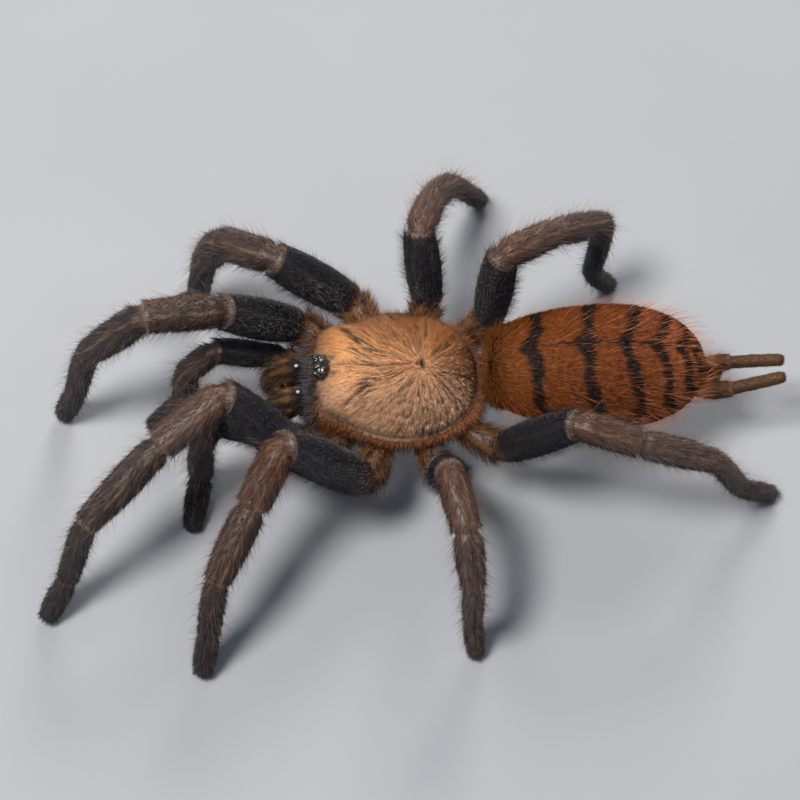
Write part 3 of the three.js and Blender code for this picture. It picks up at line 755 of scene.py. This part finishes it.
CHEVRONS = [
    # place of the point on the midline, half-width, how far down the flank it runs in turns
    (-6.5, 0.58, 0.33), (-1.7, 0.62, 0.35), (2.15, 0.56, 0.35),
    (5.0, 0.48, 0.33), (7.0, 0.4, 0.32), (8.4, 0.26, 0.26),
]
ABDOMEN_STATIONS = [
    # place along the length from -1 to 1, share of the full width
    (-1, 0.3), (-0.98, 0.46), (-0.93, 0.58), (-0.82, 0.7), (-0.66, 0.81), (-0.45, 0.9), (-0.2, 0.97),
    (0.05, 1), (0.28, 0.99), (0.48, 0.93), (0.65, 0.83), (0.79, 0.69), (0.89, 0.53), (0.96, 0.36), (1, 0.16),
]


def abdomen_marks(place, turns):
    """Masks of the abdomen: black chevrons with a thin line between them, how far back, and the flanks."""
    x = place[..., 0]
    turn = np.where(turns > 0.5, turns - 1, turns)
    away = np.abs(turn)
    ragged = 0.1 * mottle(place, 0.9, 41) + 0.1 * mottle(place, 0.35, 43, 20)
    bar = np.zeros_like(x)
    for number, (point, half_width, reach) in enumerate(CHEVRONS):
        swept = point + 0.95 * smooth(0, 0.28, away) + 0.6 * smooth(0, 0.045, away)
        swept = swept + 0.16 * np.sin(away * 30 + number * 1.7) - 0.35 * (turn > 0) * smooth(0.05, 0.25, away)
        wide = half_width * (0.95 + 0.16 * np.sin(away * 42 + number * 2.1) + 0.35 * hump(away, 0, 0.03))
        mask = smooth(wide + 0.1, wide - 0.1, np.abs(x - swept - ragged))
        bar = np.maximum(bar, mask * smooth(reach + 0.03, reach - 0.04, away + 0.02 * ragged))
    girth = 5.5 * 2 * math.pi
    line = smooth(0.24, 0.1, np.abs(turn * girth + 0.4 * ragged))
    line = line * smooth(-6.5, -5.8, x) * smooth(7.4, 6.6, x) * (0.7 + 0.3 * smooth(-4, -2, x))
    return {
        "bar": np.clip(np.maximum(bar * 0.97, line), 0, 1),
        "along": (x + ABDOMEN_LENGTH / 2) / ABDOMEN_LENGTH,
        "flank": 0.8 * smooth(0.22, 0.42, away),
    }


def abdomen_grid():
    x, fullness = resample(ABDOMEN_STATIONS, 150).T
    growing = np.linspace(0.0, 1.0, 7)[1:-1]
    x = np.concatenate([np.full(5, x[0]), x, np.full(5, x[-1])])[:, None]
    fullness = np.concatenate([fullness[0] * growing, fullness, fullness[-1] * growing[::-1]])[:, None]
    turns = np.arange(161) / 160
    angle = 2 * math.pi * turns
    wide = fullness * (ABDOMEN_WIDTH / 2 - COAT_DEPTH) * np.sin(angle)
    deep = fullness * (ABDOMEN_DEPTH / 2 - COAT_DEPTH) * np.cos(angle)
    grid = np.stack([x * (ABDOMEN_LENGTH / 2 - COAT_DEPTH) * np.ones_like(wide), wide, deep], -1)
    grid[:, -1] = grid[:, 0]
    folds = 0.05 * np.sin(grid[..., 0] * 1.9 + 0.5) * smooth(-5, 2, grid[..., 0])
    grid[..., 2] += folds * np.cos(angle)
    return grid, turns


def build_abdomen(rng):
    grid, turns = abdomen_grid()
    x = grid[..., 0]
    placed = from_abdomen(grid)
    fields = {**abdomen_marks(grid, turns), "shade": blotchy(grid, 0.5, 45)}
    skin_piece("abdomen_skin", placed, rust_skin, "abdomen_coat", ["abdomen"], fields)

    rooted = {"own": grid, "turns": turns}
    roots = plant(rng, placed, rooted, 45000, 0.9 + 0.5 * smooth(-7.5, -9.5, x))
    roots.update(abdomen_marks(roots["own"], roots["turns"]))
    root_x = roots["own"][:, 0]
    front = smooth(-8.2, -9.6, root_x)
    grow(rng, "abdomen_coat", roots, (20 + 22 * front, 10 + 8 * front), (0.4, 0.72), (0.02, 0.032),
         rust_velvet, "abdomen_coat", ("bar", "along", "flank"),
         stretch=(1 + 1.1 * front) * (1 - 0.25 * smooth(2, 8, root_x)))

    side = np.minimum(turns, 1 - turns)
    roots = plant(rng, placed, rooted, 1900, 0.4 + 0.4 * smooth(-2, 7, x) + 0.5 * smooth(0.12, 0.25, side))
    grow(rng, "abdomen_setae", roots, (40, 13), (1.4, 3.2), (0.008, 0.012), orange_seta, "abdomen_coat",
         bend=np.array([0.35, 0, -0.1]), stretch=0.7 + 0.3 * smooth(-4, 7, roots["own"][:, 0]))

    # The two short spinnerets under the tip.
    for side, out in OUT.items():
        line = resample([(8.0, out * 0.55, -2.4), (9.2, out * 0.53, -2.7), (9.95, out * 0.5, -2.9)], 14)
        radii = np.interp(np.linspace(0, 1, 14), [0, 0.6, 0.85, 1], [0.42, 0.38, 0.3, 0.12])
        grid, _ = tube(from_abdomen(line), radii, 20)
        skin_piece(f"short_spinneret_{side}", grid, spinneret_skin, "spinneret_skin", (),
                   {"along": 0.5, "shade": blotchy(grid, 0.3, 47)})


def build_tail_knob(rng):
    """The low knob at the tip of the abdomen that the spinnerets stand on."""
    placed = from_abdomen(ball_rings((9.9, 0, -1.55), (1.35, 1.15, 0.85), 40, 48, 0.02, 49))
    fields = {"along": 0.06, "shade": 0.5}
    skin_piece("tail_knob_skin", placed, spinneret_skin, "spinneret_skin", (), fields)
    roots = plant(rng, placed, fields, 3200)
    backwards(roots)
    grow(rng, "tail_knob_fuzz", roots, (26, 14), (0.3, 0.7), 0.024,
         spinneret_fuzz, "spinneret_skin", ("along",))


# ---------------------------------------------------------------- spinnerets

SPINNERET_LINE = [
    # x, y, z in the abdomen's frame, half-width
    (8.9, 1.2, -2.7, 0.6), (10.1, 1.3, -2.65, 0.8), (10.9, 1.35, -2.5, 0.9), (12.1, 1.35, -2.2, 0.85),
    (12.6, 1.3, -2.1, 0.7), (14.7, 1.1, -1.45, 0.7), (16.5, 0.9, -0.95, 0.66), (17.1, 0.85, -0.8, 0.6),
]
SPINNERET_FUZZ_DEPTH = 0.16


def build_spinneret(rng, side):
    table = resample(SPINNERET_LINE, 70)
    table[:, 1] *= OUT[side]
    t = np.linspace(0, 1, len(table))
    rounded = np.sqrt(np.clip(1 - ((t - 0.85) / 0.15).clip(0, 1) ** 2, 0.04, 1))
    grooves = 0.1 * hump(t, 0.5, 0.012) + 0.06 * hump(t, 0.74, 0.01)
    radii = (table[:, 3] - SPINNERET_FUZZ_DEPTH) * rounded * (1 - grooves)
    grid, _ = tube(from_abdomen(table[:, :3]), radii, 30)
    along = t[:, None]
    fields = {"along": along, "shade": blotchy(grid, 0.3, 51)}
    node = f"spinneret_{side}"
    skin_piece(f"spinneret_skin_{side}", grid, spinneret_skin, "spinneret_skin", [node], fields)
    roots = plant(rng, grid, fields, 4600, smooth(0.99, 0.93, along))
    grow(rng, f"spinneret_fuzz_{side}", roots, (20, 12), (0.24, 0.42), (0.016, 0.025),
         spinneret_fuzz, "spinneret_skin", ("along",), sink=0.03)
    roots = plant(rng, grid, fields, 260, smooth(0.5, 0.2, along))
    grow(rng, f"spinneret_setae_{side}", roots, (30, 16), (0.6, 1.5), 0.011, spinneret_seta, "spinneret_skin",
         bend=np.array([0.3, 0, 0]))


# ---------------------------------------------------------------- limbs

LIMB_END = 6.05
PALP_ON_LEG = ([0, 1, 2, 3, 4, 5.02], [0, 1, 2, 3, 4.7, 6.02])  # where a palp's pieces lie on a leg's count


def heading(turn_degrees, rise_degrees, side):
    turn, rise = math.radians(turn_degrees), math.radians(rise_degrees)
    level = math.cos(rise)
    return np.array([level * math.cos(turn), OUT[side] * level * math.sin(turn), math.sin(rise)])


def joint_centres(root, lengths, side, turns, rises):
    """The joints of a limb. The last piece slopes so that it ends on the floor."""
    centres = [from_prosoma(np.array(point) * [1, OUT[side], 1]) for point in root]
    for number, length in enumerate(lengths):
        start = centres[-1]
        if number < len(lengths) - 1:
            rise = rises[number]
        else:
            rise = math.degrees(math.asin((FLOOR_PAD_HEIGHT - start[2]) / length))
        centres.append(start + heading(turns[min(number, len(turns) - 1)], rise, side) * length)
    return np.array(centres)


def rounded_corner(before, corner, after, u):
    return (1 - u) ** 2 * before + 2 * u * (1 - u) * corner + u * u * after


def limb_line(centres, radii, stout, depth, tip_reach):
    """A smooth line through the joints, its half-widths, and the place of each point in numbers of pieces."""
    points, widths, along = [], [], []
    lengths = np.linalg.norm(np.diff(centres, axis=0), axis=1)
    directions = np.diff(centres, axis=0) / lengths[:, None]
    last = len(lengths) - 1
    for piece, (length, direction) in enumerate(zip(lengths, directions)):
        start, middle, end = (r * stout - depth for r in radii[piece])
        before = radii[piece - 1][2] * stout - depth if piece else start
        after = radii[piece + 1][0] * stout - depth if piece < last else end
        bend = min(1.2, 0.3 * length)
        count = max(20, int(length / 0.18))
        for t in (np.arange(count) + 0.5) / count:
            at = t * length
            left = length - at
            point = centres[piece] + direction * at
            if at < bend and piece:
                corner = centres[piece]
                before_corner = corner - directions[piece - 1] * bend
                after_corner = corner + direction * bend
                point = rounded_corner(before_corner, corner, after_corner, 0.5 + 0.5 * at / bend)
            if left < bend and piece < last:
                corner = centres[piece + 1]
                before_corner = corner - direction * bend
                after_corner = corner + directions[piece + 1] * bend
                point = rounded_corner(before_corner, corner, after_corner, 0.5 - 0.5 * left / bend)
            width = start + (end - start) * t + (4 * middle - 2 * (start + end)) * t * (1 - t)
            if piece:
                width += (0.5 * (before + start) * 0.82 - width) * (1 - smooth(0, 0.9, at))
            if piece < last:
                width += (0.5 * (end + after) * 0.82 - width) * (1 - smooth(0, 0.34, left))
                width += 0.1 * hump(left, 0.42, 0.16)
            points.append(point)
            widths.append(width)
            along.append(piece + t)
    end_width, end_point = widths[-1], points[-1]
    for s in np.linspace(0.15, 1, 9):
        points.append(end_point + directions[-1] * (tip_reach - depth) * s)
        widths.append(end_width * math.sqrt(max(1 - s * s, 0.02)))
        along.append(last + 1 + 0.02 * s)
    return np.array(points), np.array(widths), np.array(along)[:, None]


def bare_rims(along):
    """The thin bare lip at the far end of thigh, knee, shin and upper foot."""
    lips = ((1, 1.965, 0.011), (1, 2.96, 0.018), (1, 3.96, 0.016), (0.6, 4.96, 0.016))
    return np.clip(sum(share * hump(along, place, spread) for share, place, spread in lips), 0, 1)


def limb_masks(along, turns, place):
    """Where the underside, the bare lines, the foot's scopula with its painted teal sheen, the thigh and the
    striped hip are.
    """
    down = from_back(turns)
    thigh = smooth(0.95, 1.1, along) * smooth(2.02, 1.98, along)
    shin = smooth(1.98, 2.02, along) * smooth(4.02, 3.98, along)
    wander = 0.012 * np.sin(along * 9)
    lines = np.maximum(hump(turns, 0.09 + wander, 0.014), hump(turns, 0.91 - wander, 0.014))
    line = lines * (0.1 * thigh + 0.6 * shin) * smooth(-1.0, 0.0, mottle(place, 1.6, 61))
    rims = 0.7 * bare_rims(along) * smooth(0.85, 0.5, down)
    # The scopula under the foot and the claw tufts at its tip: their own dark, with a painted teal sheen.
    pad = smooth(4.15, 4.4, along) * smooth(0.4, 0.52, down)
    stripes = smooth(0.1, 0.8, np.sin(turns * 14 * math.pi + 1.4 * np.sin(along * 5)))
    return {
        # The underside mask: where the darker underside colours go, partly their own dark and partly painted
        # shade.
        "under": smooth(0.3, 0.75, down + 0.08 * mottle(place, 1.5, 63)),
        "line": np.clip(np.maximum(line, rims), 0, 1),
        "pad": np.maximum(pad, smooth(5.88, 6, along) * 0.85),
        "thigh": thigh,
        "stripe": stripes * smooth(1.04, 0.94, along) * 0.85,
    }


def build_limb(rng, name, nodes, centres, radii, stout, tip_reach, finish, counts):
    points, widths, part = limb_line(centres, radii, stout, COAT_DEPTH, tip_reach)
    if len(nodes) < len(LEG_NODES):
        part = np.interp(part, *PALP_ON_LEG)
    grid, turns = tube(points, widths, 32)
    grid[..., 2] = np.maximum(grid[..., 2], 0.08)
    down = from_back(turns)
    slot = finish["slot"]
    fields = {**limb_masks(part, turns, grid), "along": part / LIMB_END, "shade": blotchy(grid, 0.5, 65)}
    skin_piece(f"{name}_skin", grid, finish["skin"], slot, nodes, fields)

    rooted = {"part": part, "turns": turns, "along": part / LIMB_END}
    open_part = smooth(0.25, 0.5, part)
    covered = open_part * (1 + 0.5 * smooth(4.2, 4.6, part)) * (1 - 0.97 * bare_rims(part))
    roots = plant(rng, grid, rooted, counts["coat"], covered)
    roots.update(limb_masks(roots["part"], roots["turns"], roots["place"]))
    on_thigh = smooth(1.0, 1.1, roots["part"]) * smooth(2.0, 1.95, roots["part"])
    on_hip = smooth(1.05, 0.9, roots["part"])
    lie = (24 + 8 * roots["pad"] - 14 * on_thigh + 8 * on_hip, 9 - 6 * on_thigh + 6 * on_hip)
    grow(rng, f"{name}_coat", roots, lie, (0.5, 0.95), (0.022, 0.037),
         finish["coat"], slot, ("under", "line", "pad", "along", "thigh", "stripe"),
         stretch=(1 + 0.7 * on_hip + 0.3 * on_thigh) * (1 - 0.3 * roots["pad"]))

    # Long pale setae on the hips and shins, and a spiky black fringe along the thigh's underside and front.
    shin = smooth(2.0, 2.1, part) * smooth(6.0, 5.6, part)
    hairy = shin * (0.5 + smooth(0.9, 0.5, down)) + 0.12 * open_part * smooth(1.05, 0.95, part)
    roots = plant(rng, grid, rooted, counts["setae"], hairy)
    grow(rng, f"{name}_setae", roots, (38, 17), (1.1, 3.0), (0.008, 0.012), pale_seta, slot,
         bend=0.35 * roots["lie"], stretch=1 - 0.5 * smooth(4.6, 5.4, roots["part"]))
    thigh = smooth(1.0, 1.15, part) * smooth(2.0, 1.9, part)
    fringed = (1.3 * thigh + 0.5 * shin) * (0.06 + smooth(0.36, 0.5, down) + 1.2 * hump(down, 0, 0.06))
    roots = plant(rng, grid, rooted, counts["fringe"], fringed)
    grow(rng, f"{name}_fringe", roots, (46, 13), (0.8, 1.7), (0.010, 0.016), black_seta, slot)


# ---------------------------------------------------------------- underside

def build_sternum(rng):
    angle = 2 * math.pi * np.arange(61) / 60
    nose = np.maximum(0, -np.cos(angle)) ** 6 * 0.7
    outline = np.stack([(2.9 + nose) * np.cos(angle) + 0.1, 2.2 * np.sin(angle)], -1)
    profile = [  # share of the outline's size, height
        (0.05, -4.12), (0.4, -4.1), (0.76, -4.0), (0.9, -3.85),
        (0.95, -3.6), (0.95, -0.8), (0.88, -0.6), (0.05, -0.6),
    ]
    rings = [(outline * max(scale, 0.04), z) for scale, z in resample(profile, 48)]
    grid = np.array([np.column_stack([ring, np.full(len(ring), z)]) for ring, z in rings])
    placed = from_prosoma(grid)
    fields = {"along": 0.3, "shade": blotchy(grid, 0.6, 71)}
    skin_piece("sternum_skin", placed, plate_skin, "dark_plate", ["sternum"], fields)
    roots = plant(rng, placed, fields, 3000, 1.0 * (grid[..., 2] < -3.0))
    backwards(roots)
    grow(rng, "sternum_coat", roots, (28, 14), (0.3, 0.6), 0.028, plate_fuzz, "dark_plate", ("along",))


def build_waist(rng):
    t = np.linspace(0, 1, 40)
    line = resample([(5.7, 0, -1.5), (6.9, 0, -1.4), (8.1, 0, -1.3)], len(t))
    radii = np.interp(t, [0, 0.4, 0.8, 1], [0.75, 0.58, 0.56, 0.6]) * (1 + 0.03 * np.sin(40 * t))
    grid, _ = tube(from_prosoma(line), radii)
    fields = {"along": 0.6, "shade": blotchy(grid, 0.4, 73)}
    skin_piece("waist_skin", grid, plate_skin, "dark_plate", ["pedicel"], fields)
    roots = plant(rng, grid, fields, 2200)
    grow(rng, "waist_coat", roots, (48, 18), (0.6, 1.4), 0.024, plate_fuzz, "dark_plate", ("along",))


# ---------------------------------------------------------------- the finishes in use

horn_gold_skin = carapace_finish("carapace_horn_under_pile", False)
golden_pile = carapace_finish("golden_pile_combed", True)
rim_fringe = seta_finish("rim_fringe_hair", "#2c160a", "#b06c3a", 0.5)
side_wool = seta_finish("side_wall_wool", "#120b07", "#4a2f1a", 0.6)
grey_bristle = seta_finish("clypeus_bristle_grey", "#1d1b1e", "#56535a", 0.4)
mound_horn = horn_finish("eye_mound_horn_black", "#070505", "#1a1514", 0.12, 0.3, 0.25)
eye_lens = horn_finish("eye_lens_clear_black", "#040405", "#0c0b10", 0.4, 0.06, 1.0)
pale_speck = seta_finish("eye_mound_hair_pale", "#2c2724", "#9a8f84", 0.45)
JAW_SKIN_STOPS = [(0.0, "#6a4c26"), (0.45, "#3c2c1c"), (1.0, "#0e0a08")]
JAW_FUZZ_STOPS = [(0.0, "#84602f"), (0.45, "#4a3622"), (1.0, "#120d0b")]
jaw_skin = fuzz_finish("jaw_horn_brown", JAW_SKIN_STOPS, False, "tone")
jaw_fuzz = fuzz_finish("jaw_fuzz_olive_gold", JAW_FUZZ_STOPS, True, "tone")
brown_seta = seta_finish("jaw_seta_brown", "#1c1210", "#7a5a40", 0.45)
# The jaw bosses' ivory is a painted highlight on dark glossy horn.
boss_painted_highlight = horn_finish("jaw_boss_painted_highlight", "#a89e90", "#d8d2c6", 0.5, 0.08, 1.0)
fang_horn = horn_finish("fang_horn_polished_black", "#0b0706", "#2c1410", 0.5, 0.18, 0.6)
RUST_STOPS = [
    (0.0, "#42250c"), (0.05, "#62370f"), (0.16, "#733c0d"), (0.35, "#6c350c"),
    (0.65, "#713814"), (0.86, "#894a28"), (1.0, "#7e4426"),
]
rust_skin = abdomen_finish("abdomen_skin_rust", False)
rust_velvet = abdomen_finish("rust_velvet_banded", True)
orange_seta = seta_finish("seta_long_orange", "#8a4520", "#e89a68", 0.42)
SPINNERET_STOPS = [
    (0.0, "#4e270f"), (0.25, "#2a1509"), (0.42, "#4a2a15"), (0.5, "#9a7254"),
    (0.54, "#4c3018"), (0.8, "#5e3f26"), (1.0, "#543822"),
]
spinneret_seta = seta_finish("spinneret_seta_rust", "#3a1c0c", "#a8622f", 0.45)
spinneret_skin = fuzz_finish("spinneret_skin_brown", SPINNERET_STOPS, False)
spinneret_fuzz = fuzz_finish("spinneret_fuzz_fine", SPINNERET_STOPS, True)
plate_skin = fuzz_finish("underside_plate_horn", [(0.0, "#2c201a"), (1.0, "#3a2a20")], False)
plate_fuzz = fuzz_finish("underside_plate_fuzz", [(0.0, "#3a2a22"), (1.0, "#4c3624")], True)
pale_seta = seta_finish("seta_long_pale", "#3a2a24", "#a8846a", 0.45)
black_seta = seta_finish("seta_short_black", "#0b0a0c", "#22202a", 0.5)

# Colours along a limb, in pieces out of 6.05: hip, thigh, knee, shin, upper foot, foot.
# The underside's colours: partly the dark underside's own colour, partly painted shade on the lower side of
# each limb.
BELLY_DARK_AND_SHADE = [
    (0.0, "#5a3a1c"), (0.17, "#3a2512"), (0.19, "#0e0d11"), (0.32, "#0c0b10"), (0.335, "#1a1412"),
    (0.42, "#221a18"), (0.6, "#231c1a"), (0.8, "#1b1717"), (1.0, "#161414"),
]


def limb_pair(tag, knee, shin, foot):
    """The skin and velvet of a pair of legs: golden hips, black thighs, then the browns given, which for the
    far-side front legs and the palps are a darker copy that paints shade.
    """
    stops = [
        (0.0, "#7a4e20"), (0.13, "#76502a"), (0.172, "#54361c"), (0.19, "#0a0b13"), (0.327, "#0d0f19"),
        (0.331, knee[0]), (0.37, knee[0]), (0.42, knee[1]), (0.494, knee[1]), (0.498, shin),
        (0.658, shin), (0.662, foot[0]), (0.82, foot[1]), (1.0, foot[1]),
    ]
    return {
        "skin": limb_finish(f"limb_skin_{tag}", stops, BELLY_DARK_AND_SHADE, False),
        "coat": limb_finish(f"limb_velvet_{tag}", stops, BELLY_DARK_AND_SHADE, True),
        "slot": "brown_coat",
    }


FRONT = limb_pair("front", ("#563d30", "#54423b"), "#3c302c", ("#3c302b", "#30261f"))
SECOND = limb_pair("second", ("#58361f", "#58392a"), "#432f24", ("#3a2c25", "#2b201b"))
# Painted shade: a darker copy of the browns, for the two right front legs on the far side and for both palps.
SHADED_COPY = limb_pair("far", ("#3c2b22", "#40312a"), "#33281f", ("#30261f", "#2a211b"))
HIND = limb_pair("hind", ("#57392a", "#5b4438"), "#54423c", ("#57483f", "#4c3e38"))
LEG_FINISHES = {1: FRONT, 2: SECOND, 3: HIND, 4: HIND}


# ---------------------------------------------------------------- building the animal

rng = np.random.default_rng(20)
build_carapace(rng)
build_side_wall(rng)
build_eyes(rng)
for side in OUT:
    build_jaw(rng, side)
    build_fang(side)
build_sternum(rng)
build_waist(rng)
build_abdomen(rng)
build_tail_knob(rng)
for side in OUT:
    build_spinneret(rng, side)
for side, pair, turns, rises in LEG_POSES:
    nodes = [f"{piece}_{side}{pair}" for piece in LEG_NODES]
    centres = joint_centres(ROOTS[pair], LEG_LENGTHS[pair], side, turns, rises)
    # The far-side front legs take the darker copy that paints shade.
    finish = SHADED_COPY if side == "r" and pair < 3 else LEG_FINISHES[pair]
    build_limb(rng, f"leg_{side}{pair}", nodes, centres, LEG_RADII, LEG_STOUTNESS[pair], 1.0, finish,
               {"coat": 11000, "setae": 520, "fringe": 2200})
for side, turns, rises in PALP_POSES:
    nodes = [f"palp_{piece}_{side}" for piece in PALP_NODES]
    centres = joint_centres(ROOTS["palp"], PALP_LENGTHS, side, turns, rises)
    build_limb(rng, f"palp_{side}", nodes, centres, PALP_RADII, 1, 0.9, SHADED_COPY,
               {"coat": 6500, "setae": 240, "fringe": 1400})


# ---------------------------------------------------------------- floor, light and camera

FLOOR_REACH = 3.0  # metres each way
floor_mesh = bpy.data.meshes.new("floor_board")
corners = [(x * FLOOR_REACH, y * FLOOR_REACH, 0) for x, y in ((-1, -1), (1, -1), (1, 1), (-1, 1))]
floor_mesh.from_pydata(corners, [], [(0, 1, 2, 3)])
floor_mesh.materials.append(floor_finish())
floor = bpy.data.objects.new("floor_board", floor_mesh)
bpy.context.scene.collection.objects.link(floor)

world = bpy.data.worlds.new("studio")
world.use_nodes = True
world.node_tree.nodes["Background"].inputs["Color"].default_value = linear("#dfe6f2")
world.node_tree.nodes["Background"].inputs["Strength"].default_value = 0.36
bpy.context.scene.world = world


def soft_light(name, place, aim, size, watts, colour):
    lamp = bpy.data.lights.new(name, "AREA")
    lamp.shape, lamp.size, lamp.energy, lamp.color = "DISK", size, watts, linear(colour)[:3]
    holder = bpy.data.objects.new(name, lamp)
    holder.location = place
    holder.rotation_euler = (Vector(aim) - Vector(place)).to_track_quat("-Z", "Y").to_euler()
    bpy.context.scene.collection.objects.link(holder)


soft_light("head_side_softbox", (-0.11, -0.05, 0.35), (0, 0, 0.01), 0.10, 1.95, "#fff8ee")
soft_light("far_side_softbox", (0.10, 0.30, 0.25), (0, 0, 0.01), 0.16, 1.25, "#fff4e6")

CAMERA_DISTANCE = 0.212
CAMERA_ELEVATION, CAMERA_AZIMUTH, CAMERA_ROLL = math.radians(64.5), math.radians(-3.7), math.radians(-0.8)
target = Vector((-0.06, 2.60, 0)) * MM
right = Vector((math.cos(CAMERA_AZIMUTH), math.sin(CAMERA_AZIMUTH), 0))
level = math.cos(CAMERA_ELEVATION)
forward = Vector((-right.y * level, right.x * level, -math.sin(CAMERA_ELEVATION)))
up = right.cross(forward)
rolled_right = right * math.cos(CAMERA_ROLL) + up * math.sin(CAMERA_ROLL)
rolled_up = up * math.cos(CAMERA_ROLL) - right * math.sin(CAMERA_ROLL)
lens = bpy.data.cameras.new("camera")
lens.lens, lens.sensor_width, lens.clip_start, lens.clip_end = 100, 36, 0.01, 10
camera = bpy.data.objects.new("camera", lens)
place = target - forward * CAMERA_DISTANCE
camera.matrix_world = Matrix([*zip(rolled_right, rolled_up, -forward, place), (0, 0, 0, 1)])
bpy.context.scene.collection.objects.link(camera)
bpy.context.scene.camera = camera
bpy.context.scene.view_settings.view_transform = "Standard"
